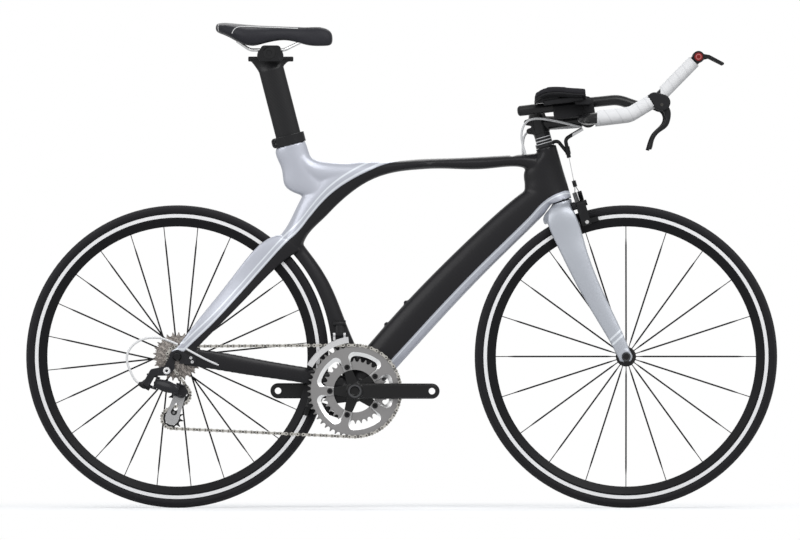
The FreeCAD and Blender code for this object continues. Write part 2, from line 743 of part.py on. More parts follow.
def right_stays():
    """Seatstay, chainstay and dropout of the drive side."""
    plate = RIGHT_DROPOUT - dim("dropout_width") / 2
    thick = dim("dropout_width")
    top = (seat(358, -137), seat(304, -104))
    end = (off(REAR, 29.3, 60.9), off(REAR, 57.4, 32.5))
    seat_rows = [(seat(376, -75), seat(330, -38), -16, 22), (top[0], top[1], -24, 14)]
    for share, side in ((0.4, -37), (0.8, -59)):
        seat_rows.append((between(top[0], end[0], share), between(top[1], end[1], share), side, 13))
    seat_rows.append((end[0], end[1], -68, 9))
    seat_rows.append((off(REAR, -10, 9.5), off(REAR, 25, -4), plate, thick))
    first = (off(BB, -87, 49), off(BB, -93, 12.5))
    last = (off(REAR, 66, 14), off(REAR, 70, -27))
    chain_rows = [(off(BB, -14, 30), off(BB, -14, -16), -22, 18), (first[0], first[1], -26, 14)]
    chain_rows.append((between(first[0], last[0], 0.5), between(first[1], last[1], 0.5), -45, 14))
    chain_rows.append((last[0], last[1], -66, 10))
    chain_rows.append((off(REAR, 18, 15), off(REAR, 14, -20), plate, thick))
    tip = pin(REAR, RIGHT_DROPOUT - thick, RIGHT_DROPOUT, 18)
    return [loft([stay_section(*row) for row in seat_rows]),
            loft([stay_section(*row) for row in chain_rows]), tip]


def axle_slot(axle, width, drop):
    """Open slot below an axle, through both dropouts or fork tips."""
    half = dim("axle_radius") + dim("slide_gap")
    reach = width / 2 + 60
    slot = pin(axle, -reach, reach, half)
    return slot.fuse(block(Vector(axle.x - half, -reach, axle.z - drop), Vector(axle.x + half, reach, axle.z)))


def hub_room(axle, width):
    half = width / 2
    return pin(axle, -half, half, 40)


def make_rear_triangle(frame):
    stays = fused(right_stays())
    thick = dim("dropout_width")
    for tool in (wheel_slot(REAR), axle_slot(REAR, dim("rear_hub_width"), 40), frame,
                 hub_room(REAR, dim("rear_hub_width")),
                 pin(REAR, RIGHT_DROPOUT - thick - 30, RIGHT_DROPOUT - thick, 45),
                 pin(BB, -100, 100, dim("shell_radius") - 1)):
        stays = stays.cut(tool)
    right = largest(stays)
    node("rear_triangle", [right, mirrored(right)])
    return right


def make_hanger():
    """Replaceable hanger outside the right dropout, with the two bolts that hold it."""
    inner = RIGHT_DROPOUT - dim("dropout_width")
    ear = hanger_bolt()
    places = (off(REAR, 30.4, -2.7), off(REAR, 33.4, -11.6))
    plates = [strap(off(REAR, 24, -7), 10, REAR, 15, HANGER_FACE, inner),
              strap(REAR, 15, ear, 9.5, HANGER_FACE, inner),
              strap(off(REAR, 24, -7), 10, off(REAR, 32, -7), 9.5, HANGER_FACE, inner)]
    hanger = fused(plates).cut(axle_slot(REAR, dim("rear_hub_width"), 40))
    hanger = hanger.cut(pin(ear, HANGER_FACE - 1, inner + 1, 5))
    bolts = []
    for place in places:
        hanger = hanger.cut(pin(place, HANGER_FACE - 1, inner + 1, 2.1))
        seat_point = Vector(place.x, HANGER_FACE, place.z)
        bolts.append(socket_bolt(seat_point, SIDE * -1, 3.6, 1.8, 2.05, HANGER_FACE * -1 + inner))
    node("derailleur_hanger", [largest(hanger)] + bolts)


def hanger_bolt():
    return off(REAR, -22.7, -31.3)


def make_seat_clamp():
    """Band on the seat mast's top, with a split lug and two cross bolts behind."""
    low = dim("mast_height")
    high = low + dim("clamp_height")
    half = dim("post_depth") / 2 + dim("clamp_wall")
    wide = dim("post_width") + 2 * dim("clamp_wall")
    section = Part.Face(oval(seat(low, -half - 1), seat(low, half - 1), wide))
    band = section.extrude(SEAT_UP * dim("clamp_height"))
    lug = strap(seat(low + 7, -half + 1), 7, seat(high - 7, -half + 1), 7, -13, 13)
    band = band.fuse(lug)
    band = band.cut(post_prism(dim("slide_gap"), low - 100, high + 20))
    slit = block(Vector(-14, -0.8, -2), Vector(16, 0.8, dim("clamp_height") + 2))
    slit.Placement = Placement(seat(low, -half), Rotation(UP, SEAT_UP))
    band = band.cut(slit)
    bolts = []
    for up in (low + 6, high - 6):
        place = seat(up, -half - 1)
        band = band.cut(pin(place, -20, 20, 2.6))
        bolts.append(socket_bolt(Vector(place.x, -13, place.z), SIDE * -1, 4.2, 3.4, 2.5, 24))
    node("seat_clamp", [largest(band)] + bolts)


def make_frame_bearings():
    """Bottom bracket cups and headset bearings."""
    half = dim("shell_width") / 2
    bore = "dims.spindle_radius + dims.running_gap"
    steerer = "dims.steerer_radius + dims.running_gap"
    members = []
    for name, side in (("right_cup", -half - dim("cup_width")), ("left_cup", half)):
        members.append(ring(name, "dims.cup_radius", bore, "dims.cup_width", across(BB, side)))
    for name, side in (("right_sleeve", -half), ("left_sleeve", half - 10)):
        members.append(ring(name, "dims.cup_sleeve", bore, "10", across(BB, side)))
    for name, up in (("lower_bearing", 1), ("upper_bearing", dim("head_length") - dim("bearing_height"))):
        place = Placement(steer(up, 0), Rotation(UP, HEAD_UP))
        members.append(ring(name, "dims.bearing_radius", steerer, "dims.bearing_height", place))
    collected("frame_bearings", members)


# Fork and front end.

def fork_blade():
    """Right blade: a deep thin section that narrows to the tip."""
    tip = -dim("front_hub_width") / 2 - dim("dropout_width") / 2
    rows = ((steer(-6, -22), steer(-6, 16), -12, 20), (steer(-22, -38), steer(-20, 20), -24, 18),
            (steer(-52, -42), steer(-48, 24), -29, 15),
            (steer(-115, -32), steer(-108, 25), -33, 14), (steer(-235, -7), steer(-229, 36), -41, 12),
            (steer(-335, 19), steer(-328, 52), -50, 9),
            (FRONT + HEAD_UP * -8 - HEAD_FORWARD * 17, FRONT + HEAD_UP * -4 + HEAD_FORWARD * 13, tip, 7))
    blade = loft([stay_section(*row) for row in rows])
    return blade.fuse(pin(FRONT, tip - dim("dropout_width") / 2, tip + dim("dropout_width") / 2, 14))


def make_fork():
    crown_rows = ((0, -21, 23, 44), (-12, -34, 23, 51), (-24, -48, 23.5, 62), (-44, -47, 26, 66),
                  (-64, -42, 25, 68))
    crown = loft([oval(steer(up, rear), steer(up, front), wide) for up, rear, front, wide in crown_rows])
    race = rod(steer(0, 0), steer(1, 0), dim("bearing_radius") - 1)
    steerer = rod(steer(-10, 0), steer(stack_height() + STEM_HEIGHT - 1, 0), dim("steerer_radius"))
    blade = fork_blade()
    fork = fused([crown, blade, mirrored(blade), race, steerer])
    for tool in (wheel_slot(FRONT), axle_slot(FRONT, dim("front_hub_width"), 40),
                 hub_room(FRONT, dim("front_hub_width"))):
        fork = fork.cut(tool)
    fork = largest(fork).cut(front_brake_body())
    node("fork", [largest(fork)])


STACK = (("head_cover", 9, 21), ("spacer_low", 6.5, 18), ("spacer_mid", 7, 18), ("spacer_high", 8, 18))


def stack_height():
    return dim("head_length") + 0.3 + sum(height for name, height, radius in STACK)


def make_spacers():
    up = dim("head_length") + 0.3
    members = []
    for name, height, radius in STACK:
        place = Placement(steer(up, 0), Rotation(UP, HEAD_UP))
        members.append(ring(name, str(radius), "dims.steerer_radius", str(height), place))
        up += height
    cap_place = Placement(steer(up + STEM_HEIGHT, 0), Rotation(UP, HEAD_UP))
    members.append(cylinder("top_cap", "dims.steerer_radius + 3", "4", cap_place))
    collected("headset_spacers", members)


STEM_HEIGHT = 42
BAR_CENTRE = steer(stack_height() + 1, 107)
EXTENSION_RISE = 36


def make_stem():
    low = stack_height()
    high = low + STEM_HEIGHT
    clamp = rod(steer(low, 0), steer(high, 0), 19)
    middle = steer((low + high) / 2 + 1, 0)
    waist = between(middle, BAR_CENTRE, 0.5)
    arm_rows = ((middle, 17, 34), (waist, 13, 30), (BAR_CENTRE, 14, 40))
    arm = loft([oval(place + UP * tall, place - UP * tall, wide) for place, tall, wide in arm_rows])
    nose = pin(BAR_CENTRE, -22, 22, 18)
    lugs = [strap(steer(up, -12), 9, steer(up + 3, -25), 6.5, -12, 12) for up in (low + 9, high - 13)]
    stem = fused([clamp, arm, nose] + lugs)
    stem = stem.cut(rod(steer(low - 5, 0), steer(high + 5, 0), dim("steerer_radius")))
    stem = stem.cut(pin(BAR_CENTRE, -40, 40, dim("bar_radius")))
    bolts = []
    for up in (low + 11.5, high - 10.5):
        place = steer(up, -25)
        stem = stem.cut(pin(place, -13, 20, 2.6))
        bolts.append(socket_bolt(Vector(place.x, -12, place.z), SIDE * -1, 4, 2.5, 2.5, 20))
    node("stem", [largest(stem)] + bolts)


def bar_path(side):
    reach = dim("bar_reach") * side
    return [BAR_CENTRE, off(BAR_CENTRE, 0, 0, reach - 8 * side), off(BAR_CENTRE, 93, 11, reach),
            off(BAR_CENTRE, 137, 38, reach)]


def make_base_bar():
    """Round bar with two flattened wings and two horns that bend forward and up."""
    radius = dim("bar_radius")
    slim = 1.7 * radius
    rows = ((24, slim, slim), (44, 40, 25), (80, 47, 25), (122, 47, 25), (150, slim, slim))
    path = list(reversed(bar_path(-1))) + bar_path(1)[1:]
    path.remove(BAR_CENTRE)
    pieces = [tube(path, radius, 40)]
    for hand in (-1, 1):
        sections = []
        for side, deep, tall in rows:
            middle = BAR_CENTRE + SIDE * (side * hand)
            reach = Vector(deep / 2, 0, 0)
            sections.append(oval(middle - reach, middle + reach, tall, UP))
        pieces.append(loft(sections))
    bar = fused(pieces)
    node("base_bar", [bar])
    return bar


def extension_path(side):
    line = dim("extension_line") * side
    start = off(BAR_CENTRE, 0, EXTENSION_RISE, line)
    return [off(start, -150, -17), off(start, -12, 0), off(start, 66, 8), off(start, 129, -14),
            off(start, 233, 92)]


def make_extension_bars():
    bars = [tube(extension_path(side), dim("extension_radius"), 62) for side in (-1, 1)]
    node("extension_bars", bars)


def tape_sleeve(path, start, radius, wall, bend):
    """Tape wound on the last stretch of a bar: a tube cut where the tape starts."""
    outside = tube(path, radius + wall, bend)
    inside = tube(path, radius, bend)
    keep = block(Vector(start, -400, 0), Vector(start + 400, 400, 1400))
    return largest(outside.cut(inside).common(keep))


def make_bar_tape():
    sleeves = []
    for side in (-1, 1):
        horn = bar_path(side)
        sleeves.append(tape_sleeve(horn, horn[0].x + 18, dim("bar_radius"), dim("tape_wall"), 40))
        rise = extension_path(side)
        sleeves.append(tape_sleeve(rise, rise[3].x + 30, dim("extension_radius"), dim("extension_tape"), 62))
    node("bar_tape", sleeves)


def make_arm_rests():
    """Clamp blocks on the base bar that hold the extensions and carry the arm cups."""
    pieces = []
    line = dim("extension_line")
    for side in (-1, 1):
        place = off(BAR_CENTRE, 0, 0, line * side)
        top = off(place, -4, EXTENSION_RISE)
        riser = strap(Vector(place.x, 0, place.z), 17, Vector(top.x, 0, top.z), 15, place.y - 13, place.y + 13)
        plate = strap(off(top, -20, 3), 7, off(top, 4, 3), 7, place.y, (dim("pad_line") + 12) * side)
        piece = fused([riser, plate, cup_shape(side)])
        piece = piece.cut(tube(extension_path(side), dim("extension_radius"), 62))
        piece = piece.cut(BASE_BAR)
        pieces.append(largest(piece))
    node("arm_rests", pieces)


def cup_shape(side, lift=0.0, thick=4.0):
    """Trough that a forearm lies in, curved across and turned up behind."""
    line = dim("pad_line") * side
    half = dim("pad_width") / 2
    start = off(BAR_CENTRE, 0, EXTENSION_RISE + 2 + lift, line)
    rows = ((-118, -7, 0.8), (-100, 5, 1.0), (-50, 8, 1.0), (-6, 6, 0.95))
    sections = [trough(off(start, along, up), half * share, thick) for along, up, share in rows]
    return loft(sections)


def trough(place, half, thick):
    """Curved strip section, thicker side walls standing up at both edges."""
    rise = 9.0
    low_left = off(place, 0, rise, -half)
    low_right = off(place, 0, rise, half)
    up_left = off(place, 0, rise + thick, -half)
    up_right = off(place, 0, rise + thick, half)
    edges = [
        Part.Arc(low_left, off(place, 0, 0), low_right).toShape(),
        Part.LineSegment(low_right, up_right).toShape(),
        Part.Arc(up_right, off(place, 0, thick), up_left).toShape(),
        Part.LineSegment(up_left, low_left).toShape(),
    ]
    return Part.Wire(edges)


def make_arm_pads():
    pads = [cup_shape(side, 4.0 + dim("part_gap"), 13.0) for side in (-1, 1)]
    node("arm_pads", pads)


# Brakes.

def brake_place(axle, angle, flip):
    """Placement that takes a brake drawn in a plane to its place at a wheel.

    Drawn X is across the bike, drawn Z is away from the axle, drawn Y runs along the rim.
    """
    radial, tangent = brake_local(axle, angle)
    return Placement(axle, Rotation(SIDE * flip, tangent * flip, radial, "ZXY"))


def brake_arm(hand, layer):
    """One crossed arm: pad leg beside the tyre, horn across it, pad with its holder.

    hand is the side it is drawn on. The layer keeps the two horns clear of each other.
    """
    track = dim("rim_radius") - dim("track_depth") / 2
    pivot = Vector(PIVOT_SIDE * hand, 0, PIVOT_RADIUS)
    low, high = layer
    leg = strap(pivot, 7, Vector(25 * hand, 0, track), 6.5, -8, 13)
    horn = strap(pivot, 7, Vector(-HORN_TIP * hand, 0, PIVOT_RADIUS + HORN_RISE), 4.5, low, high)
    face = dim("rim_width") / 2 + dim("pad_gap")
    holder = block(Vector(face + 4, -12, track - 5), Vector(face + 8, 31, track + 5))
    pad = block(Vector(face, -10, track - 4), Vector(face + 4, 29, track + 4))
    shoe = holder.fuse(pad)
    shoe = shoe if hand > 0 else mirrored_x(shoe)
    stud = rod(Vector((face + 6) * hand, 2, track), Vector(34 * hand, 2, track), 4)
    arm = fused([leg, horn, shoe, stud])
    yoke = Vector(0, 3, PIVOT_RADIUS + STRADDLE_RISE - 6)
    tip = Vector(-HORN_TIP * hand, (low + high) / 2, PIVOT_RADIUS + HORN_RISE)
    arm = arm.cut(rod(yoke, tip + (tip - yoke).normalize() * 14, dim("wire_radius") + 1.4))
    return arm.cut(rod(pivot - SIDE * 60, pivot + SIDE * 60, 4 + dim("running_gap")))


def mirrored_x(shape):
    return shape.mirror(Vector(0, 0, 0), Vector(1, 0, 0))


def make_brake_arms(prefix, axle, angle, flip):
    place = brake_place(axle, angle, flip)
    for name, side, layer in (("right", -1, (-8, 2)), ("left", 1, (3, 13))):
        arm = largest(brake_arm(side * flip, layer))
        arm.Placement = place
        node(f"{prefix}_brake_arm_{name}", [arm])


def front_brake_body():
    """Back plate on the crown bolt, with the posts that the arms turn on."""
    plate = strap(Vector(-PIVOT_SIDE, 0, PIVOT_RADIUS), 9, Vector(PIVOT_SIDE, 0, PIVOT_RADIUS), 9, -17, -8.6)
    pieces = [plate, rod(Vector(0, -55, PIVOT_RADIUS), Vector(0, -10, PIVOT_RADIUS), 3)]
    for side in (-PIVOT_SIDE, PIVOT_SIDE):
        heart = Vector(side, 0, PIVOT_RADIUS)
        pieces.append(rod(heart - SIDE * 12, heart + SIDE * 17, 4))
        pieces.append(rod(heart + SIDE * 13.4, heart + SIDE * 17, 6.5))
    body = fused(pieces)
    body.Placement = brake_place(FRONT, FRONT_BRAKE_ANGLE, -1)
    return body


# Brake levers and shifters.

def lever_pivot(side):
    return off(BAR_CENTRE, 160, 31, dim("bar_reach") * side)


LEVER_SLOT = 6.4
LEVER_ROOT = 9


def make_lever_hoods():
    hoods = []
    for side in (-1, 1):
        pivot = lever_pivot(side)
        end = bar_path(side)[3]
        hood = fused([strap(end + (end - bar_path(side)[2]).normalize() * 8, 16.3, off(pivot, 1, 5), 18,
                            pivot.y - 13, pivot.y + 13)])
        hood = hood.cut(tape_cut(side))
        room = strap(pivot, LEVER_ROOT + 3, off(pivot, 14, -40), 20, pivot.y - LEVER_SLOT, pivot.y + LEVER_SLOT)
        room = room.fuse(strap(pivot, LEVER_ROOT + 3, off(pivot, -14, -40), 16, pivot.y - LEVER_SLOT,
                               pivot.y + LEVER_SLOT))
        hood = largest(hood.cut(room))
        axle = pin(pivot, pivot.y - 13, pivot.y + 13, 2.5)
        hoods.append(hood.fuse(axle))
    node("lever_hoods", hoods)


def tape_cut(side):
    return tube(bar_path(side), dim("bar_radius") + dim("tape_wall"), 40)


def make_brake_lever(label, side):
    """Blade that curves down and back from its pivot to a blunt tip."""
    pivot = lever_pivot(side)
    rows = ((18, -9, -1, -12, 11), (20, -19, 5, -19, 12), (19, -31, 7, -28, 12), (12, -48, 2, -41, 11),
            (-5, -61, -11, -54, 10.5), (-18, -81, -24.5, -76, 10), (-23.5, -99, -31, -97, 9))
    sections = []
    for outer_x, outer_z, inner_x, inner_z, wide in rows:
        sections.append(oval(off(pivot, outer_x, outer_z), off(pivot, inner_x, inner_z), wide, SIDE, 0.8))
    root = pin(pivot, pivot.y - 6, pivot.y + 6, LEVER_ROOT)
    neck = strap(pivot, LEVER_ROOT, off(pivot, 9, -10), 8.5, pivot.y - 5.5, pivot.y + 5.5)
    blade = fused([root, neck, loft(sections)])
    blade = blade.cut(pin(pivot, pivot.y - 20, pivot.y + 20, 2.5 + dim("running_gap")))
    node(label, [largest(blade)])


def shifter_pivot(side):
    path = extension_path(side)
    heading = (path[4] - path[3]).normalize()
    return path[4] + heading * 14


SHIFTER_HALF = 11


def make_shifter_bodies():
    bodies = []
    for side in (-1, 1):
        path = extension_path(side)
        pivot = shifter_pivot(side)
        heading = (path[4] - path[3]).normalize()
        cone = Part.makeCone(dim("extension_radius"), SHIFTER_HALF, 14, path[4], heading)
        pod = pin(pivot, pivot.y - SHIFTER_HALF, pivot.y + SHIFTER_HALF, 13)
        reach = pivot.y + side * (SHIFTER_HALF + 9)
        bolt = pin(pivot, pivot.y, reach, 4)
        cap = pin(pivot, reach - 2.6 * side, reach, 9.5)
        bodies.append(fused([cone, pod, bolt, cap]))
    node("shifter_bodies", bodies)


def make_shift_lever(label, side):
    pivot = shifter_pivot(side)
    near = pivot.y + side * (SHIFTER_HALF + dim("part_gap"))
    far = near + side * 5.6
    disc = pin(pivot, near, far, 12.5)
    elbow = off(pivot, 23, 0.5)
    end = off(pivot, 53, -15)
    arm = strap(pivot, 8, elbow, 3.6, near, far).fuse(strap(elbow, 3.6, end, 3.2, near, far))
    lever = disc.fuse(arm).cut(pin(pivot, near - side, far + side, 4 + dim("running_gap")))
    node(label, [largest(lever)])


# Drivetrain.

def pitch_radius(teeth):
    return dim("chain_pitch") / (2 * math.sin(math.pi / teeth))


def toothed_wire(teeth, phase, side):
    """Outline of a sprocket: round roller seats, straight flanks and blunt tips."""
    pitch = pitch_radius(teeth)
    seat_radius = dim("seat_radius")
    tip_radius = pitch + dim("tooth_height")
    tip_half = 0.9 / tip_radius
    step = 2 * math.pi / teeth

    def at(radius, angle):
        return Vector(radius * math.cos(angle), side, radius * math.sin(angle))

    edges = []
    for index in range(teeth):
        gap = phase + index * step
        centre = at(pitch, gap)
        centre.y = 0
        inward = at(-1, gap)
        inward.y = 0
        sideways = at(1, gap + math.pi / 2)
        sideways.y = 0
        level = Vector(0, side, 0)
        lean = inward * (seat_radius * math.cos(math.radians(60)))
        swing = sideways * (seat_radius * math.sin(math.radians(60)))
        low = centre + lean - swing + level
        bottom = centre + inward * seat_radius + level
        high = centre + lean + swing + level
        tip_in = at(tip_radius, gap + step / 2 - tip_half)
        tip_out = at(tip_radius, gap + step / 2 + tip_half)
        following = gap + step
        next_centre = at(pitch, following)
        next_inward = at(-1, following)
        next_inward.y = 0
        next_side = at(1, following + math.pi / 2)
        next_side.y = 0
        next_low = (next_centre + next_inward * (seat_radius * 0.5)
                    - next_side * (seat_radius * math.sqrt(0.75)))
        edges.append(Part.Arc(low, bottom, high).toShape())
        edges.append(Part.LineSegment(high, tip_in).toShape())
        edges.append(Part.LineSegment(tip_in, tip_out).toShape())
        edges.append(Part.LineSegment(tip_out, next_low).toShape())
    return Part.Wire(edges)


def sprocket(teeth, phase, bore, thick):
    """Toothed plate centred on its own plane at the origin."""
    face = Part.Face(toothed_wire(teeth, phase, -thick / 2))
    plate = face.extrude(SIDE * thick)
    return plate.cut(Part.makeCylinder(bore, thick * 3, Vector(0, -1.5 * thick, 0), SIDE))


DERAILLEUR_PIVOT = off(hanger_bolt(), 31.5, -46)
PULLEY_PITCH = pitch_radius(int(dim("pulley_teeth")))


def cage_points(angle):
    """Guide and tension pulley centres for a cage direction in degrees."""
    heading = polar(angle)
    return DERAILLEUR_PIVOT + heading * dim("cage_guide"), DERAILLEUR_PIVOT + heading * dim("cage_reach")


def tangent_line(first, second):
    """Straight chain run between two wheels, each given as (centre, radius, turn)."""
    gap = second[0] - first[0]
    lean = math.asin((second[2] * second[1] - first[2] * first[1]) / math.hypot(gap.x, gap.z))
    heading = math.atan2(gap.z, gap.x) - lean
    left = Vector(-math.sin(heading), 0, math.cos(heading))
    return first[0] - left * (first[2] * first[1]), second[0] - left * (second[2] * second[1])


def chain_course(angle):
    """Chain line as alternating straight runs and arcs, with lengths in pitches."""
    guide, tension = cage_points(angle)
    wheels = ((BB, pitch_radius(int(dim("big_ring_teeth"))), 1, int(dim("big_ring_teeth"))),
              (REAR, pitch_radius(COGS[0]), 1, COGS[0]),
              (guide, PULLEY_PITCH, -1, int(dim("pulley_teeth"))),
              (tension, PULLEY_PITCH, 1, int(dim("pulley_teeth"))))
    runs = []
    for index, wheel in enumerate(wheels):
        runs.append(tangent_line(wheel[:3], wheels[(index + 1) % 4][:3]))
    course = []
    for index in range(4):
        start, end = runs[index]
        course.append(("run", start, end, (end - start).Length / dim("chain_pitch"), index))
        centre, radius, turn, teeth = wheels[(index + 1) % 4]
        leave = runs[(index + 1) % 4][0]
        first = math.atan2(end.z - centre.z, end.x - centre.x)
        last = math.atan2(leave.z - centre.z, leave.x - centre.x)
        sweep = (turn * (last - first)) % (2 * math.pi)
        course.append(("arc", centre, (radius, first, turn), sweep * teeth / (2 * math.pi), (index + 1) % 4))
    return course


def course_length(angle):
    return sum(stretch[3] for stretch in chain_course(angle))


def solve_cage_angle():
    """Cage direction that closes the chain on a whole, even number of pitches."""
    low, high = 235.0, 275.0
    ends = sorted((course_length(low), course_length(high)))
    middle = course_length(254.0)
    target = min((count for count in range(60, 160, 2) if ends[0] < count < ends[1]),
                 key=lambda count: abs(count - middle))
    rising = course_length(high) > course_length(low)
    for step in range(60):
        angle = (low + high) / 2
        if (course_length(angle) < target) == rising:
            low = angle
        else:
            high = angle
    return (low + high) / 2, target


CAGE_ANGLE, CHAIN_PITCHES = solve_cage_angle()
GUIDE, TENSION = cage_points(CAGE_ANGLE)
COURSE = chain_course(CAGE_ANGLE)
LEAD = 4.0


def run_side(share, start_side, end_side, length):
    """Side of the chain along a run: straight off each wheel, then eased across."""
    lead = LEAD / length
    eased = min(max((share - lead) / (1 - 2 * lead), 0.0), 1.0)
    eased = eased * eased * (3 - 2 * eased)
    return start_side + (end_side - start_side) * eased


def chain_point(position):
    """Pin centre at a distance in pitches from the start of the upper run."""
    sides = (-dim("big_ring_line"), -dim("cog_line"), -dim("cog_line"), -dim("cog_line"))
    for kind, first, second, length, index in COURSE:
        if position < length:
            break
        position -= length
    if kind == "run":
        share = position / length
        point = between(first, second, share)
        point.y = run_side(share, sides[index], sides[(index + 1) % 4], length)
        return point
    radius, start, turn = second
    teeth = (int(dim("big_ring_teeth")), COGS[0], int(dim("pulley_teeth")), int(dim("pulley_teeth")))[index]
    angle = start + turn * position * 2 * math.pi / teeth
    return Vector(first.x + radius * math.cos(angle), sides[index], first.z + radius * math.sin(angle))


PINS = [chain_point(count) for count in range(CHAIN_PITCHES)]


def wheel_phase(number, centre):
    """Angle of the first chain pin that lies on the arc of a wheel."""
    position = 0.0
    for kind, first, second, length, index in COURSE:
        if kind == "arc" and index == number:
            place = PINS[math.ceil(position) % CHAIN_PITCHES]
            return math.atan2(place.z - centre.z, place.x - centre.x)
        position += length
    return 0.0


PIN_RADIUS = 1.8
INNER_FACE = 1.15
PLATE_WALL = 0.85


def chain_plate(face, radius):
    low = Vector(0, 0, 0)
    far = Vector(dim("chain_pitch"), 0, 0)
    return strap(low, radius, far, radius, face, face + PLATE_WALL)


def outer_link():
    """Two plates joined by two pins, drawn from one pin to the next along X."""
    face = INNER_FACE + PLATE_WALL + 0.05
    half = face + PLATE_WALL + 0.05
    plates = [chain_plate(face, 4.0), chain_plate(-face - PLATE_WALL, 4.0)]
    pins = [pin(Vector(at, 0, 0), -half, half, PIN_RADIUS) for at in (0, dim("chain_pitch"))]
    return fused(plates + pins)


def inner_link():
    """Two plates joined by two rollers, with room for the pins."""
    plates = [chain_plate(INNER_FACE, 4.0), chain_plate(-INNER_FACE - PLATE_WALL, 4.0)]
    shape = plates
    for at in (0, dim("chain_pitch")):
        shape = shape + [pin(Vector(at, 0, 0), -INNER_FACE, INNER_FACE, dim("roller_radius"))]
    link = fused(shape)
    for at in (0, dim("chain_pitch")):
        link = link.cut(pin(Vector(at, 0, 0), -5, 5, PIN_RADIUS + 0.04))
    return link


def make_chain():
    kinds = (outer_link(), inner_link())
    links = []
    for index, start in enumerate(PINS):
        end = PINS[(index + 1) % CHAIN_PITCHES]
        along = (end - start).normalize()
        upward = along.cross(SIDE).normalize()
        link = kinds[index % 2].copy()
        link.Placement = Placement(start, Rotation(along, upward.cross(along), upward, "XZY"))
        links.append(link)
    node("chain", links)


RING_WEB = 88.0
TAB_RADIUS = 9.0


def ring_opening(front_side, back_side, outer, bolt, half_angle, bevel):
    """Opening between two bolt tabs, wider at the front so that its edge is bevelled."""
    wires = []
    for side, grow in ((front_side, bevel), (back_side, 0.0)):
        reach = outer + grow
        low = bolt - 13
        low_half = math.radians(half_angle) - 11.5 / bolt + grow / bolt * 0.3
        high_half = math.radians(half_angle) - 13.0 / outer + grow / outer * 0.45

        def at(radius, angle):
            return Vector(radius * math.cos(angle), side, radius * math.sin(angle))

        corner = reach - 12
        tip_half = high_half * 0.6
        edges = [
            Part.Arc(at(low, -low_half), at(low, 0), at(low, low_half)).toShape(),
            Part.LineSegment(at(low, low_half), at(corner, high_half)).toShape(),
            Part.Arc(at(corner, high_half), at(reach - 3, high_half * 0.88), at(reach, tip_half)).toShape(),
            Part.Arc(at(reach, tip_half), at(reach, 0), at(reach, -tip_half)).toShape(),
            Part.Arc(at(reach, -tip_half), at(reach - 3, -high_half * 0.88), at(corner, -high_half)).toShape(),
            Part.LineSegment(at(corner, -high_half), at(low, -low_half)).toShape(),
        ]
        wires.append(Part.Wire(edges))
    return loft(wires, True)


def chainring(teeth, phase, web, open_outer, bevel):
    """Toothed plate with five openings and five bolt holes, centred on its own plane."""
    half = dim("ring_plate") / 2
    bolt = dim("bolt_circle") / 2
    plate = sprocket(teeth, phase, bolt - 8, dim("tooth_plate"))
    thick = Part.makeCylinder(web, 2 * half, Vector(0, -half, 0), SIDE)
    thick = thick.cut(Part.makeCylinder(bolt - 8, 4 * half, Vector(0, -2 * half, 0), SIDE))
    body = plate.fuse(thick)
    for index in range(5):
        angle = 72 * index
        if open_outer:
            opening = ring_opening(-half - 0.01, half + 0.01, open_outer, bolt, 36, bevel)
            opening.rotate(Vector(0, 0, 0), SIDE, -angle)
            body = body.cut(opening)
        hole = polar(angle + 36) * bolt
        body = body.cut(pin(hole, -3 * half, 3 * half, 5.05))
    return largest(body)


def make_chainrings():
    big = chainring(int(dim("big_ring_teeth")), wheel_phase(0, BB), 96, 77.5, 8.5)
    small = chainring(int(dim("small_ring_teeth")), 0.02, 63, 0, 0)
    big.Placement = Placement(off(BB, 0, 0, -dim("big_ring_line")), Rotation())
    small.Placement = Placement(off(BB, 0, 0, -dim("small_ring_line")), Rotation())
    node("chainrings", [big, small])


def spider_faces():
    """The spider fills the space between the two rings' plates."""
    outer = -dim("big_ring_line") + dim("ring_plate") / 2
    inner = -dim("small_ring_line") - dim("ring_plate") / 2
    return outer, inner


def make_crank_right():
    """Arm with spindle, boss and five-arm spider in one piece."""
    inner = -dim("crank_line")
    outer = inner - dim("crank_plate")
    eye = off(BB, dim("crank_length"), 0)
    half = dim("crank_height") / 2
    arm = strap(BB, half + 2, eye, half + 2, outer + 3, inner)
    waist = strap(BB, half - 1, eye, half - 1, outer, inner)
    shell_end = -dim("shell_width") / 2 - dim("cup_width") - dim("part_gap")
    boss = pin(BB, outer - 3, shell_end, half + 3)
    spindle = pin(BB, outer, dim("crank_line") + dim("crank_plate") - 2, dim("spindle_radius"))
    front, back = spider_faces()
    pieces = [arm, waist, boss, spindle]
    bolt = dim("bolt_circle") / 2
    for index in range(5):
        heading = polar(72 * index + 36)
        pieces.append(strap(BB + heading * 14, 13, BB + heading * bolt, 8, back, front))
    crank = fused(pieces)
    for index in range(5):
        crank = crank.cut(pin(BB + polar(72 * index + 36) * bolt, -80, -20, 5.05))
    crank = crank.cut(pin(eye, outer - 5, inner + 5, dim("pedal_radius")))
    crank = crank.cut(pin(BB, outer - 5, outer + 4, 10))
    node("crank_right", [largest(crank)])


def make_crank_left():
    inner = dim("crank_line")
    outer = inner + dim("crank_plate")
    eye = off(BB, -dim("crank_length"), 0)
    half = dim("crank_height") / 2
    shell_end = dim("shell_width") / 2 + dim("cup_width") + dim("part_gap")
    pieces = [strap(BB, half + 2, eye, half + 2, inner, outer - 3),
              strap(BB, half - 1, eye, half - 1, inner, outer), pin(BB, shell_end, outer, half + 3)]
    crank = fused(pieces).cut(pin(BB, 0, 100, dim("spindle_radius")))
    crank = crank.cut(pin(eye, inner - 5, outer + 5, dim("pedal_radius")))
    node("crank_left", [largest(crank)])


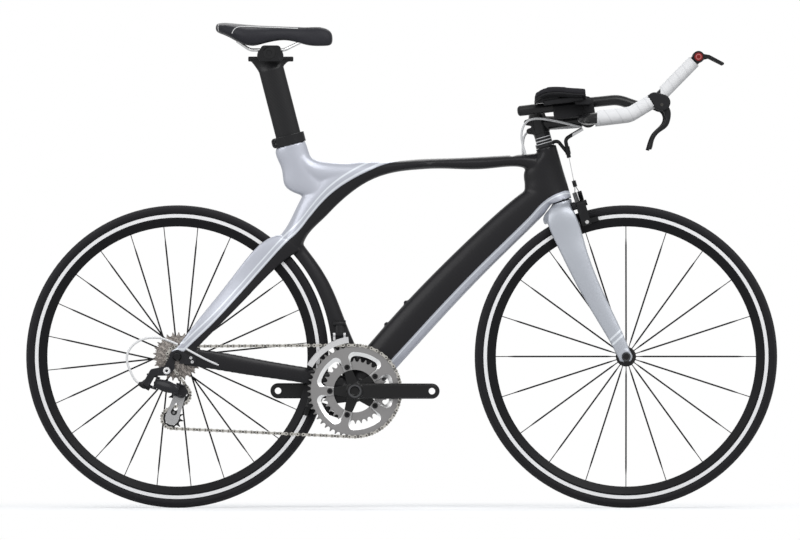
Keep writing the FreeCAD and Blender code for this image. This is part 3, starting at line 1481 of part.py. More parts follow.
def make_chainring_bolts():
    front = -dim("big_ring_line") - dim("ring_plate") / 2
    back = -dim("small_ring_line") + dim("ring_plate") / 2
    bolts = []
    for index in range(5):
        place = BB + polar(72 * index + 36) * (dim("bolt_circle") / 2)
        sleeve = pin(place, front, back, 5).fuse(pin(place, front - 1.6, front, 6.2))
        sleeve = sleeve.fuse(pin(place, back, back + 1.6, 6.2))
        bolts.append(sleeve.cut(pin(place, front - 3, front + 5, 2.5)))
    node("chainring_bolts", bolts)


def make_cassette():
    """Ten cogs and a lockring on the freehub body."""
    pieces = []
    first = -dim("cog_line")
    for index, teeth in enumerate(COGS):
        phase = wheel_phase(1, REAR) if index == 0 else 0.07 * index
        cog = sprocket(teeth, phase, dim("freehub_radius"), dim("cog_plate"))
        cog.Placement = Placement(off(REAR, 0, 0, first + index * dim("cog_pitch")), Rotation())
        pieces.append(cog)
    inner_end = -dim("rear_flange_right") - dim("flange_width") - dim("part_gap")
    outer_end = first - dim("cog_plate") / 2
    bore = dim("axle_radius") + dim("running_gap")
    drum = pin(REAR, outer_end, inner_end, dim("freehub_radius"))
    drum = drum.cut(pin(REAR, -100, 100, bore))
    drum = drum.cut(pin(REAR, outer_end - 1, outer_end + 6, dim("locknut_radius") + 1))
    lockring = pin(REAR, outer_end - 2.4, outer_end, dim("freehub_radius") - 0.4)
    lockring = lockring.cut(pin(REAR, -100, 0, dim("locknut_radius") + 2))
    node("cassette", pieces + [drum, lockring])


def make_pulley(label, number, centre):
    teeth = int(dim("pulley_teeth"))
    disc = sprocket(teeth, wheel_phase(number, centre), 4, dim("tooth_plate"))
    hub = Part.makeCylinder(8, 7.2, Vector(0, -3.6, 0), SIDE)
    disc = disc.fuse(hub).cut(Part.makeCylinder(3 + dim("running_gap"), 20, Vector(0, -10, 0), SIDE))
    for index in range(5):
        hole = polar(72 * index) * 13
        disc = disc.cut(pin(hole, -5, 5, 3))
    disc.Placement = Placement(off(centre, 0, 0, -dim("cog_line")), Rotation())
    node(label, [largest(disc)])


# Rear derailleur. The links turn on pins that lean forward, so the cage moves across.
LINK_AXIS = Vector(0.3, 0, 0.954).normalize()
LINK_HALF = 11.0
LUG_WALL = 3.4
OUTER_PIN = off(hanger_bolt(), -23, -27, -84)
INNER_PIN = off(hanger_bolt(), -23, -27, -73)


def link_vector():
    """Link at rest: forward along the leaning plane and outward."""
    forward = LINK_AXIS.cross(SIDE) * -1
    out = math.radians(19)
    return (forward * math.cos(out) - SIDE * math.sin(out)) * dim("rail_link")


def lean_place(point):
    """Placement whose drawn Y axis is the link pins' axis."""
    forward = LINK_AXIS.cross(SIDE) * -1
    return Placement(point, Rotation(forward, LINK_AXIS, SIDE * -1, "YXZ"))


def local(point, origin):
    """Coordinates of a point in the links' leaning frame."""
    return lean_place(origin).inverse().multVec(point)


def make_derailleur_link(label, start):
    end = local(start + link_vector(), start)
    link = strap(Vector(0, 0, 0), 4.5, Vector(end.x, 0, end.z), 4.5, -LINK_HALF, LINK_HALF)
    for place in (Vector(0, 0, 0), Vector(end.x, 0, end.z)):
        link = link.cut(pin(place, -20, 20, 2 + dim("running_gap")))
    link.Placement = lean_place(start)
    node(label, [largest(link)])


def pivot_lugs(origin, first, second, heart, heart_radius):
    """Pair of lugs above and below the links, with the two pins through them."""
    pieces = []
    target = local(heart, origin)
    for low in (LINK_HALF + dim("part_gap"), -LINK_HALF - dim("part_gap") - LUG_WALL):
        for place in (first, second):
            spot = local(place, origin)
            pieces.append(strap(Vector(spot.x, 0, spot.z), 5, Vector(target.x, 0, target.z), heart_radius, low,
                                low + LUG_WALL))
    reach = LINK_HALF + dim("part_gap") + LUG_WALL
    for place in (first, second):
        spot = local(place, origin)
        pieces.append(pin(Vector(spot.x, 0, spot.z), -reach, reach, 2))
    lugs = fused(pieces)
    lugs.Placement = lean_place(origin)
    return lugs


def make_upper_knuckle():
    """Body on the hanger bolt that carries the links and the cable adjuster."""
    ear = hanger_bolt()
    face = HANGER_FACE - dim("part_gap")
    bend = off(ear, -30, -3)
    heart = off(ear, -43, -26, -80)
    body = strap(ear, 10.5, bend, 8, HANGER_FACE - 14, face)
    neck = strap(bend, 8, Vector(heart.x, 0, heart.z), 8, HANGER_FACE - 14, face)
    bolt = pin(ear, HANGER_FACE - 17, HANGER_FACE + 6, 5).fuse(pin(ear, HANGER_FACE - 17, HANGER_FACE - 14, 8))
    bolt = bolt.cut(pin(ear, HANGER_FACE - 20, HANGER_FACE - 14, 3))
    lugs = pivot_lugs(OUTER_PIN, OUTER_PIN, INNER_PIN, heart, 7)
    post = rod(heart - LINK_AXIS * 11.7, heart + LINK_AXIS * 11.7, 5)
    adjuster = adjuster_rods()
    shape = fused([body, neck, bolt, lugs, post] + adjuster)
    node("rd_knuckle", [largest(shape)])


def adjuster_rods():
    """Barrel adjuster: stepped barrel along the cable's line."""
    start, end = adjuster_line()
    heading = (end - start).normalize()
    length = (end - start).Length
    pieces = [rod(start, end, 3.2), rod(start + heading * (length * 0.45), end - heading * 3, 5.2)]
    return pieces


def adjuster_line():
    ear = hanger_bolt()
    return off(ear, -31, -36, -82), off(ear, -60, -27, -82)


def make_lower_knuckle():
    """Knuckle that the cage turns on. It holds the cage spring."""
    shift = link_vector()
    outer = OUTER_PIN + shift
    inner = INNER_PIN + shift
    plate_side = -dim("cog_line") - dim("cage_half") - 2.2
    barrel = pin(DERAILLEUR_PIVOT, plate_side - 15, plate_side - dim("part_gap"), 14)
    heart = Vector(DERAILLEUR_PIVOT.x, plate_side - 9, DERAILLEUR_PIVOT.z)
    lugs = pivot_lugs(outer, outer, inner, heart, 7)
    stud = pin(DERAILLEUR_PIVOT, plate_side - 5, plate_side + 1.8, 5)
    knuckle = fused([barrel, lugs, stud])
    node("rd_pivot", [largest(knuckle)])


def make_cage():
    """Two plates joined by the pulley bolts. The outer plate turns on the lower knuckle."""
    middle = -dim("cog_line")
    outer = middle - dim("cage_half")
    inner = middle + dim("cage_half")
    plate = strap(DERAILLEUR_PIVOT, 12, TENSION, 15, outer - 2, outer)
    window = strap(between(GUIDE, TENSION, 0.42), 3.5, between(GUIDE, TENSION, 0.74), 7, outer - 4, outer + 2)
    plate = plate.cut(window)
    plate = plate.cut(pin(DERAILLEUR_PIVOT, outer - 9, outer + 9, 5 + dim("running_gap")))
    back = strap(GUIDE, 12, TENSION, 11, inner, inner + 1.6)
    slot = strap(between(GUIDE, TENSION, 0.4), 5, between(GUIDE, TENSION, 0.62), 5, inner - 2, inner + 4)
    back = back.cut(slot)
    pieces = [plate, back]
    for centre, start in ((GUIDE, outer), (TENSION, outer - 3)):
        pieces.append(pin(centre, start, inner + 3, 3))
    cage = fused(pieces).cut(pin(DERAILLEUR_PIVOT, outer - 3, outer + 0.01, 5 + dim("running_gap")))
    node("rd_cage", [largest(cage)])


# Front derailleur.
FD_TOP = off(BB, -34, 148, -36)
FD_LINK = 24.0
FD_SWING = 10.0


def fd_low_pin():
    lean = math.radians(FD_SWING)
    return FD_TOP + Vector(0, -math.sin(lean), -math.cos(lean)) * FD_LINK


def cage_band(low, high, first, last, side_from, side_to):
    """Curved plate that follows the big chainring's edge."""
    def at(radius, degrees):
        place = BB + polar(degrees) * radius
        place.y = side_from
        return place

    middle = (first + last) / 2
    edges = [
        Part.Arc(at(low, first), at(low, middle), at(low, last)).toShape(),
        Part.LineSegment(at(low, last), at(high, last)).toShape(),
        Part.Arc(at(high, last), at(high, middle), at(high, first)).toShape(),
        Part.LineSegment(at(high, first), at(low, first)).toShape(),
    ]
    return Part.Face(Part.Wire(edges)).extrude(SIDE * (side_to - side_from))


def make_fd_bracket():
    """Bracket on the seat tube with the upper link pin."""
    root = off(FD_TOP, 0, 0)
    arm = block(off(root, -14, -2, 6), off(root, 14, 8, 30))
    ears = [rod(off(root, low, 0), off(root, low + 5, 0), 5) for low in (-14, 9)]
    feet = [block(off(root, low, -2, 0), off(root, low + 5, 8, 8)) for low in (-14, 9)]
    link_pin = rod(off(root, -14, 0), off(root, 14, 0), 2)
    shape = fused([arm] + ears + feet + [link_pin])
    shape = shape.cut(MAIN_FRAME)
    node("fd_bracket", [largest(shape)])


def make_fd_link():
    low = fd_low_pin()
    ends = [(off(place, -8.6, 0), off(place, 8.6, 0)) for place in (FD_TOP, low)]
    link = fused([rod(rear, front, 4.6) for rear, front in ends])
    link = link.fuse(loft([oval(rear, front, 6) for rear, front in ends]))
    for place in (FD_TOP, low):
        link = link.cut(rod(off(place, -30, 0), off(place, 30, 0), 2 + dim("running_gap")))
    node("fd_link", [largest(link)])


def make_fd_cage():
    """Outer and inner plates over the chain, joined at the tail and under the link."""
    tip = pitch_radius(int(dim("big_ring_teeth"))) + dim("tooth_height")
    line = -dim("big_ring_line")
    outer = cage_band(tip + 2.6, tip + 14.5, 97, 151, line - 6.2, line - 5)
    inner = cage_band(tip + 2.6, tip + 16, 97, 151, line + 4.4, line + 5.6)
    tail = cage_band(tip + 10, tip + 14, 146, 150, line - 6.2, line + 5.6)
    roof = cage_band(tip + 11.5, tip + 14.5, 97, 110, line - 6.2, line + 5.6)
    low = fd_low_pin()
    ears = [rod(off(low, start, 0), off(low, start + 5, 0), 5) for start in (-14, 9)]
    feet = [block(off(low, start, -12, -3), off(low, start + 5, 1, 2)) for start in (-14, 9)]
    cross = rod(off(low, -14, 0), off(low, 14, 0), 2)
    cage = fused([outer, inner, tail, roof, cross] + ears + feet)
    node("fd_cage", [largest(cage)])


# Seatpost and saddle.

RAIL_HEIGHT = 757.0


def saddle_point(forward, up, side=0.0):
    """Places on the saddle, from the post's head."""
    return off(seat(dim("post_height"), 0), forward, up, side)


def make_seatpost():
    """Aero post whose head carries a fore-and-aft rail for the saddle clamp."""
    shaft = post_prism(0.0, post_foot(), dim("post_height"))
    half = dim("post_depth") / 2
    top = dim("post_height")
    shoulder = oval(seat(top - 0.01, -half - 1), seat(top - 0.01, half - 1), dim("post_width"))
    neck = loft([shoulder, oval(saddle_point(-36, 5), saddle_point(33, 14), 18),
                 oval(saddle_point(-50, 22), saddle_point(46, 22), 15.4)])
    rail = block(saddle_point(-52, 22, -14), saddle_point(48, 28, 14))
    under = block(saddle_point(-52, 17, -7.6), saddle_point(48, 22, 7.6))
    node("seatpost", [largest(fused([shaft, neck, rail, under]))])


def rail_paths():
    paths = []
    for side in (-1, 1):
        spread = dim("rail_spread") * side
        paths.append([saddle_point(-76, 62, spread * 1.35), saddle_point(-48, 42.5, spread),
                      saddle_point(28, 42.5, spread), saddle_point(64, 60, spread * 0.55)])
    return paths


def make_saddle_clamp():
    """Two-piece head: a carriage that grips the post's rail and a yoke over the saddle rails."""
    gap = dim("slide_gap")
    body = strap(saddle_point(-15, 30), 17, saddle_point(9, 30), 17, -29, 29)
    body = body.fuse(block(saddle_point(-28, 17.5, -20), saddle_point(22, 30, 20)))
    body = body.fuse(strap(saddle_point(-16, 44), 8.5, saddle_point(12, 44), 8.5, -29, 29))
    room = block(saddle_point(-200, 22 - gap, -14 - gap), saddle_point(200, 28 + gap, 14 + gap))
    room = room.fuse(block(saddle_point(-200, -20, -9), saddle_point(200, 23, 9)))
    body = body.cut(room)
    body = body.cut(block(saddle_point(-80, -30, -60), saddle_point(80, 17, 60)))
    for path in rail_paths():
        body = body.cut(tube(path, dim("rail_radius"), 24))
    node("saddle_clamp", [largest(body)])


def make_saddle_rails():
    node("saddle_rails", [tube(path, dim("rail_radius"), 24) for path in rail_paths()])


def dome(forward, width, low, high):
    """Saddle section across the bike: flat below, full sides and a low crown."""
    half = width / 2
    shoulder = high - 0.16 * (high - low)

    def at(side, up):
        return saddle_point(forward, up, side)

    edges = [
        Part.LineSegment(at(-half * 0.9, low), at(half * 0.9, low)).toShape(),
        Part.Arc(at(half * 0.9, low), at(half, (low + high) / 2), at(half * 0.82, shoulder)).toShape(),
        Part.Arc(at(half * 0.82, shoulder), at(0, high), at(-half * 0.82, shoulder)).toShape(),
        Part.Arc(at(-half * 0.82, shoulder), at(-half, (low + high) / 2), at(-half * 0.9, low)).toShape(),
    ]
    return Part.Wire(edges)


def make_saddle():
    wide = dim("saddle_width")
    rows = ((-124, wide * 0.42, 87, 96), (-117, wide * 0.75, 81, 101), (-90, wide, 70, 100.5),
            (-58, wide * 0.93, 54, 97.5), (-22, wide * 0.64, 57, 95), (34, wide * 0.4, 65, 93),
            (88, wide * 0.32, 52.5, 92), (118, wide * 0.3, 51, 90), (130, wide * 0.25, 52.5, 83),
            (134.5, wide * 0.16, 58, 74))
    shell = loft([dome(*row) for row in rows])
    for path in rail_paths():
        shell = shell.cut(tube(path, dim("rail_radius"), 24))
    node("saddle", [largest(shell)])


# Cables.

def make_cable_hanger():
    """Headset plate that carries the front brake's cable stop, with its barrel."""
    up = dim("head_length") + 0.3 + STACK[0][1]
    start = steer(up - 3.5, 19)
    foot = steer(up - 5, 30)
    stop = steer(up - 38, 44)
    arm = tube([start, foot, stop], 4, 12)
    pull = (stop - straddle_point()).normalize()
    barrel_top = stop + pull * 16
    barrel_end = stop - pull * 9
    barrel = fused([rod(barrel_end, barrel_top, 4.6), rod(barrel_end + pull * 8, barrel_top, 6)])
    shape = arm.fuse(barrel).cut(rod(steer(up - 30, 0), steer(up + 20, 0), 21))
    shape = shape.cut(rod(barrel_end - pull * 40, barrel_top + pull * 40, dim("wire_radius") + 0.3))
    node("cable_hanger", [largest(shape)])
    return barrel_top, barrel_end


def straddle_point():
    radial, tangent = brake_local(FRONT, FRONT_BRAKE_ANGLE)
    return FRONT + radial * (PIVOT_RADIUS + STRADDLE_RISE) - tangent * 3


def make_front_brake_housing(barrel_top, barrel_end):
    """Bent guide pipe from below the base bar to the stop, the wire and its yoke."""
    under = off(BAR_CENTRE, -12, -20)
    yoke = straddle_point()
    pull = (barrel_top - yoke).normalize()
    pipe = tube([under, off(BAR_CENTRE, -36, -34), barrel_top + pull * 17, barrel_top], 4.2, 16)
    wire = rod(barrel_top - pull * 0.1, yoke, dim("wire_radius"))
    radial, tangent = brake_local(FRONT, FRONT_BRAKE_ANGLE)
    hub = rod(yoke + radial * 4, yoke - radial * 10, 4.5)
    wings = []
    for side, layer in ((HORN_TIP, -3), (-HORN_TIP, 8)):
        end = FRONT + radial * (PIVOT_RADIUS + HORN_RISE) + SIDE * side - tangent * layer
        start = yoke - radial * 6
        wings.append(rod(start, end + (end - start).normalize() * 3, dim("wire_radius")))
    node("front_brake_housing", [pipe, fused([wire, hub] + wings)])


def make_cable_housings():
    """Two shift housings that run back under the stem and down into the top tube."""
    entries = (steer(dim("head_length") - 4, -47, -7), steer(dim("head_length") - 3, -53, 7))
    start = off(BAR_CENTRE, -14, -17)
    first = [off(start, 0, 0, -10), off(start, -34, 8, -20), off(start, -66, 15, -25), off(start, -99, 20, -25),
             off(start, -123, 14, -23), off(start, -134, -9, -18), off(start, -132, -36, -11), entries[0]]
    second = [off(start, 0, 1, 10), off(start, -32, -1, 20), off(start, -64, -3, 26), off(start, -98, -3, 26),
              off(start, -122, -10, 23), off(start, -131, -30, 15), entries[1]]
    housings = []
    for path in (first, second):
        housings.append(tube(path, dim("housing_radius")).cut(MAIN_FRAME))
    node("cable_housings", [largest(housing) for housing in housings])


def make_rear_shift_housing():
    """Loop from the stay's end round to the derailleur's adjuster, and the stretch on the chainstay."""
    start, stop = adjuster_line()
    heading = (stop - start).normalize()
    loop = [off(REAR, 1, 27, -72), off(REAR, -28, 40, -76), off(REAR, -52, 43, -80), off(REAR, -78, 39, -84),
            off(REAR, -98, 26, -87), off(REAR, -110, 8, -88), off(REAR, -111, -10, -88),
            off(REAR, -104, -30, -86), stop + heading * 9, stop]
    stretch = [off(REAR, 88, -17, -58), off(REAR, 66, -8, -70), off(REAR, 44, 4, -74), off(REAR, 20, 17, -72)]
    pieces = []
    for path in (loop, stretch):
        piece = tube(path, dim("housing_radius")).cut(RIGHT_STAYS)
        pieces.append(largest(piece))
    node("rear_shift_housing", pieces)


MAIN_FRAME = make_main_frame()
RIGHT_STAYS = make_rear_triangle(MAIN_FRAME)
make_hanger()
make_seat_clamp()
make_frame_bearings()
make_fork()
make_spacers()
make_stem()
BASE_BAR = make_base_bar()
make_bar_tape()
make_extension_bars()
make_arm_rests()
make_arm_pads()
for wheel, hub_axle in (("front", FRONT), ("rear", REAR)):
    make_tyre(f"{wheel}_tyre", hub_axle)
    make_rim(f"{wheel}_rim", hub_axle)
make_front_hub()
make_rear_hub()
make_front_spokes()
make_rear_spokes()
make_axle("front_axle", FRONT, dim("front_hub_width"), dim("locknut_width"), dim("locknut_width"))
make_axle("rear_axle", REAR, dim("rear_hub_width"), dim("locknut_width"), 4)
make_qr_lever("front_qr_lever", "front_axle", FRONT, dim("front_hub_width"))
make_qr_lever("rear_qr_lever", "rear_axle", REAR, dim("rear_hub_width"))
node("front_brake_body", [front_brake_body()])
make_brake_arms("front", FRONT, FRONT_BRAKE_ANGLE, -1)
make_brake_arms("rear", REAR, REAR_BRAKE_ANGLE, -1)
make_lever_hoods()
make_brake_lever("brake_lever_right", -1)
make_brake_lever("brake_lever_left", 1)
make_shifter_bodies()
make_shift_lever("shift_lever_right", -1)
make_shift_lever("shift_lever_left", 1)
make_chain()
make_chainrings()
make_crank_right()
make_crank_left()
make_chainring_bolts()
make_cassette()
make_pulley("guide_pulley", 2, GUIDE)
make_pulley("tension_pulley", 3, TENSION)
make_upper_knuckle()
make_derailleur_link("rd_outer_link", OUTER_PIN)
make_derailleur_link("rd_inner_link", INNER_PIN)
make_lower_knuckle()
make_cage()
make_fd_bracket()
make_fd_link()
make_fd_cage()
make_seatpost()
make_saddle_clamp()
make_saddle_rails()
make_saddle()
TOP, END = make_cable_hanger()
make_front_brake_housing(TOP, END)
make_cable_housings()
make_rear_shift_housing()


def check_and_export():
    DOC.recompute()
    for item in DOC.Objects:
        if "Invalid" in item.State or "Error" in item.State:
            raise RuntimeError(f"{item.Name} failed: {item.State}")
    bad = [item.Label for item in NODES
           if item.Shape.isNull() or not item.Shape.isValid() or not item.Shape.Solids]
    if bad:
        raise RuntimeError(f"no valid solid: {bad}")
    os.makedirs("parts", exist_ok=True)
    for item in NODES:
        item.Shape.exportStep(f"parts/{item.Label}.step")
    print(f"{len(NODES)} nodes, chain of {CHAIN_PITCHES} pitches, cage at {CAGE_ANGLE:.2f} degrees")


check_and_export()
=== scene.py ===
import math

import bmesh
import bpy
from mathutils import Matrix, Vector


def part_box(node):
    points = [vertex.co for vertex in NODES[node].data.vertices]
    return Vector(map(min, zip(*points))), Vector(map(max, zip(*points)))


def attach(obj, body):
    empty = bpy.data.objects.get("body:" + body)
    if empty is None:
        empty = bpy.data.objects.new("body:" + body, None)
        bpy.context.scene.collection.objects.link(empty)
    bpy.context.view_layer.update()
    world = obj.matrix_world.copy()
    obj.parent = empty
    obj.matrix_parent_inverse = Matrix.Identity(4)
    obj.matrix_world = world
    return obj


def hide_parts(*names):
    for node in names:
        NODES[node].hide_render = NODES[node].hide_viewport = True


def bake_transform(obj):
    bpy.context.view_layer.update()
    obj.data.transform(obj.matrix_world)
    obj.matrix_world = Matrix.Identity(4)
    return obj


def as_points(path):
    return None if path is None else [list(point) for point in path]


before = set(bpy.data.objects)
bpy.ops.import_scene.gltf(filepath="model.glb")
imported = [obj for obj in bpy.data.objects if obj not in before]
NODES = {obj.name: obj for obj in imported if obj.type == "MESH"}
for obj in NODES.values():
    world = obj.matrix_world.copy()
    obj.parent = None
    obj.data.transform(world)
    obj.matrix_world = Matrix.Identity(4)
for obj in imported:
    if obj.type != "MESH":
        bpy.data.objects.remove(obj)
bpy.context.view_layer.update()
SCENE = bpy.context.scene


def middle_of(label):
    low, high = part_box(label)
    return (low + high) / 2


# Places in metres, from the solids' boxes.
REAR_AXLE = middle_of("rear_tyre")
FRONT_AXLE = middle_of("front_tyre")
CRANK_AXLE = middle_of("chainrings")
RIM_LOW, RIM_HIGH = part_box("front_rim")
RIM_RADIUS = (RIM_HIGH.z - RIM_LOW.z) / 2

BLACK_COAT = (0.0085, 0.0082, 0.0097)
BLACK_WEAVE = (0.0125, 0.0122, 0.0142)
SILVER_COAT = (0.45, 0.465, 0.52)
SILVER_SHADE = (0.37, 0.385, 0.435)
FORK_SILVER = (0.415, 0.435, 0.475)
FORK_SHADE = (0.345, 0.365, 0.40)
STRIPE_COAT = (0.66, 0.69, 0.73)

# Small parts that a finish follows: bolt heads, the smallest cog and where the brake pipe turns bright.
KNUCKLE_BOLTS = ((-0.5177, 0.3027, 0.0032, 0.0081),)
HANGER_BOLTS = ((-0.4646, 0.3313, 0.0012, 0.0031), (-0.4616, 0.3224, 0.0012, 0.0031))
SMALL_COG_SIDE = -0.0595
COG_PITCH = 0.00395
PIPE_TIP = 0.377
YOKE_TOP = 0.7245

# The bare brake track, measured in from the rim's edge, and where the tyres' tread starts.
TRACK_INNER = 0.0092
TRACK_OUTER = 0.0016
TREAD_START = 0.3275

# The frame's paint: silver above the rear edge and below the low edge, with pale lines beside both. The
# chainstays stay black, and the rear silver ends near the top tube's middle.
REAR_EDGE = ((-0.48, 0.3454), (-0.4657, 0.3597), (-0.4129, 0.4107), (-0.3601, 0.4683), (-0.3073, 0.5281),
             (-0.2545, 0.5857), (-0.2281, 0.6101), (-0.2017, 0.6434), (-0.1753, 0.6744), (-0.1489, 0.6988),
             (-0.1093, 0.7253), (-0.0697, 0.7453), (-0.0433, 0.7564), (0.0, 0.7665))
LOW_EDGE = ((-0.03, 0.3195), (-0.0211, 0.3291), (0.1388, 0.501), (0.2776, 0.638), (0.3203, 0.681), (0.36, 0.7))
REAR_LINES = ((0.0025, 0.0075), (0.017, 0.0218))
LOW_LINES = ((0.004, 0.0075),)
STAY_END = -0.452
STAY_SLOPE = 0.17
STAY_TOP = 0.281
BAND_START = -0.024
SILVER_END = -0.0005

# The fork's paint: slanted lines near the tips and the dark race at the crown.
TIP_SLOPE = -0.935
TIP_LINES = ((-0.0622, -0.0562), (-0.0774, -0.0714))
RACE_SLOPE = -0.2867
RACE_HEIGHT = 0.5742

# The steerer's rise and its lean back, and the joints of the spacers above their foot.
STEERER_UP = 0.9613
STEERER_BACK = 0.2756
SPACER_LINES = ((0.0104, 0.0119), (0.0165, 0.0185), (0.0238, 0.0254))

# Radii about the crank's axle: the open spindle, its ring and the roots of the teeth.
SPINDLE_BORE = 0.0108
SPINDLE_RING = 0.0147
TEETH_START = 0.0975

# The shifters' red caps: how far in from the body's corner and face, their radius and the ring on them.
CAP_CORNER = Vector((0.013, 0, 0.013))
CAP_FACE = 0.0031
CAP_RADIUS = 0.0092
CAP_RING = (0.0046, 0.0062)

# Bar tape: how it runs along, across and up, and the width of a turn.
TAPE_RUN = (0.82, 0.12, 0.5)
TAPE_TURN = 0.021

# How dark the grain makes a colour at most.
DARKEST = 0.35


# Node helpers.

class Value:
    """What a node puts out. Sums, products and comparisons of values become math nodes."""

    def __init__(self, node, label=0):
        self.tree = node.id_data
        self.socket = node.outputs[label]

    def math(self, operation, second=0.0):
        return Value(place(self.tree, "ShaderNodeMath", {0: self, 1: second}, operation=operation))

    def __add__(self, other):
        return self.math("ADD", other)

    def __sub__(self, other):
        return self.math("SUBTRACT", other)

    def __rsub__(self, other):
        return Value(place(self.tree, "ShaderNodeMath", {0: other, 1: self}, operation="SUBTRACT"))

    def __mul__(self, other):
        return self.math("MULTIPLY", other)

    def __truediv__(self, other):
        return self.math("DIVIDE", other)

    def __abs__(self):
        return self.math("ABSOLUTE")

    def __gt__(self, other):
        return self.math("GREATER_THAN", other)

    def __lt__(self, other):
        return self.math("LESS_THAN", other)

    def __or__(self, other):
        return self.math("MAXIMUM", other)

    def between(self, low, high):
        return (self > low) * (self < high)

    def bands(self, edges):
        """One inside any of some ranges of this value."""
        mask = 0.0
        for low, high in edges:
            mask = self.between(low, high) | mask
        return mask

    def span(self, low, high, to_low=0.0, to_high=1.0):
        """This value mapped from one range to another, held at both ends."""
        sockets = dict(enumerate((self, low, high, to_low, to_high)))
        return Value(place(self.tree, "ShaderNodeMapRange", sockets, clamp=True))

    def mix(self, first, second):
        """Colour that runs from the first to the second as this value runs from 0 to 1."""
        return Value(place(self.tree, "ShaderNodeMix", {0: self, 6: first, 7: second}, data_type="RGBA"), 2)

    def darken(self, colour):
        """Colour made darker where this value is low."""
        return self.mix(tuple(channel * DARKEST for channel in colour), colour)


def feed(node, socket, source):
    """Links a value to a named or numbered socket, or sets a plain number, vector or colour on it."""
    target = node.inputs[socket]
    if isinstance(source, Value):
        source.tree.links.new(source.socket, target)
    else:
        target.default_value = (*source, 1) if target.type == "RGBA" else source


def set_all(thing, **values):
    for key, value in values.items():
        setattr(thing, key, value)


def place(tree, kind, sockets=(), **settings):
    """New node with its settings, and with its sockets fed by name or number."""
    node = tree.nodes.new(kind)
    set_all(node, **settings)
    for socket, source in dict(sockets).items():
        feed(node, socket, source)
    return node


def object_point(tree):
    return Value(place(tree, "ShaderNodeTexCoord"), "Object")


def parts_of(vector):
    node = place(vector.tree, "ShaderNodeSeparateXYZ", {0: vector})
    return [Value(node, axis) for axis in range(3)]


def bike_place(tree):
    """Place along, across and up."""
    return parts_of(object_point(tree))


def noise(tree, point, scale, detail=2.0):
    return Value(place(tree, "ShaderNodeTexNoise", {"Vector": point, "Scale": scale, "Detail": detail}), "Fac")


def cells(tree, scale):
    """Distance from the middles of scattered cells."""
    sockets = {"Vector": object_point(tree), "Scale": scale}
    return Value(place(tree, "ShaderNodeTexVoronoi", sockets), "Distance")


def start_group(name, **inputs):
    """New node group, and the values given to it in their order."""
    tree = bpy.data.node_groups.new(name, "ShaderNodeTree")
    for label, default in inputs.items():
        socket = tree.interface.new_socket(label, in_out="INPUT", socket_type="NodeSocketFloat")
        socket.default_value = default
    entry = place(tree, "NodeGroupInput")
    return tree, [Value(entry, label) for label in inputs]


def end_group(tree, **results):
    for label in results:
        tree.interface.new_socket(label, in_out="OUTPUT", socket_type="NodeSocketFloat")
    place(tree, "NodeGroupOutput", results)
    return tree


def use_group(tree, group, **values):
    """A group's results, in their order, for the values that it is given."""
    node = place(tree, "ShaderNodeGroup", values, node_tree=group)
    return [Value(node, number) for number in range(len(node.outputs))]


# Effects that several materials share.

def make_grain():
    """Uneven fine grain: a shade between a low value and one, and a height."""
    tree, (scale, low, patch) = start_group("fine_grain", Scale=900.0, Low=0.8, Patch=12.0)
    point = object_point(tree)
    fine = noise(tree, point, scale, 3.0)
    wide = noise(tree, point, patch)
    return end_group(tree, Shade=(fine * 0.5 + wide * 0.5).span(0.3, 0.7, low, 1.0), Height=fine)


def make_ring_band():
    """Ring about an axis across the bike: a mask between two radii, and the radius itself."""
    tree, (along, up, inner, outer) = start_group("ring_band", Along=0.0, Up=0.0, Inner=0.1, Outer=0.2)
    x, y, z = bike_place(tree)
    dx = x - along
    dz = z - up
    radius = (dx * dx + dz * dz).math("SQRT")
    return end_group(tree, Mask=radius.between(inner, outer), Radius=radius)


def make_lathe_marks():
    """Fine turned grooves about an axis across the bike: a height."""
    tree, (radius, pitch) = start_group("lathe_marks", Radius=0.0, Pitch=0.0004)
    wave = (radius / pitch * (2 * math.pi)).math("SINE")
    return end_group(tree, Height=wave.span(-1.0, 1.0))


def make_scuffs():
    """Sparse handling marks: a mask with a few short scratches."""
    tree, (scale, amount) = start_group("scuffs", Scale=60.0, Amount=0.3)
    sockets = {"Vector": object_point(tree), "Rotation": (0.4, 0.7, 0.2), "Scale": (1.0, 6.0, 0.6)}
    stretched = Value(place(tree, "ShaderNodeMapping", sockets))
    return end_group(tree, Mask=noise(tree, stretched, scale, 4.0).span(0.62, 0.72, 0.0, amount))


def make_weave():
    """Twill of crossing bundles, as in carbon cloth: a shade and a height."""
    tree, [pitch] = start_group("carbon_twill", Pitch=0.002)
    x, y, z = bike_place(tree)
    first = (x + y * 0.7) / pitch
    second = (z - y * 0.7) / pitch
    over = ((first + second) * 0.25).math("FRACT") > 0.5
    cell = first.math("FRACT")
    bulge = (1.0 - cell) * cell
    return end_group(tree, Shade=over * 0.5 + bulge, Height=bulge)


GRAIN = make_grain()
RING_BAND = make_ring_band()
LATHE = make_lathe_marks()
SCUFFS = make_scuffs()
TWILL = make_weave()


def grain(tree, scale, low=0.8, patch=12.0):
    """Shade and height of the grain."""
    return use_group(tree, GRAIN, Scale=scale, Low=low, Patch=patch)


def ring_about(tree, centre, inner=0.0, outer=1.0):
    """Mask between two radii about an axis across the bike, and the radius."""
    return use_group(tree, RING_BAND, Along=centre.x, Up=centre.z, Inner=inner, Outer=outer)


def turn_about(x, z, centre):
    """Angle about an axis across the bike."""
    return (z - centre.z).math("ARCTAN2", x - centre.x)


# Materials.

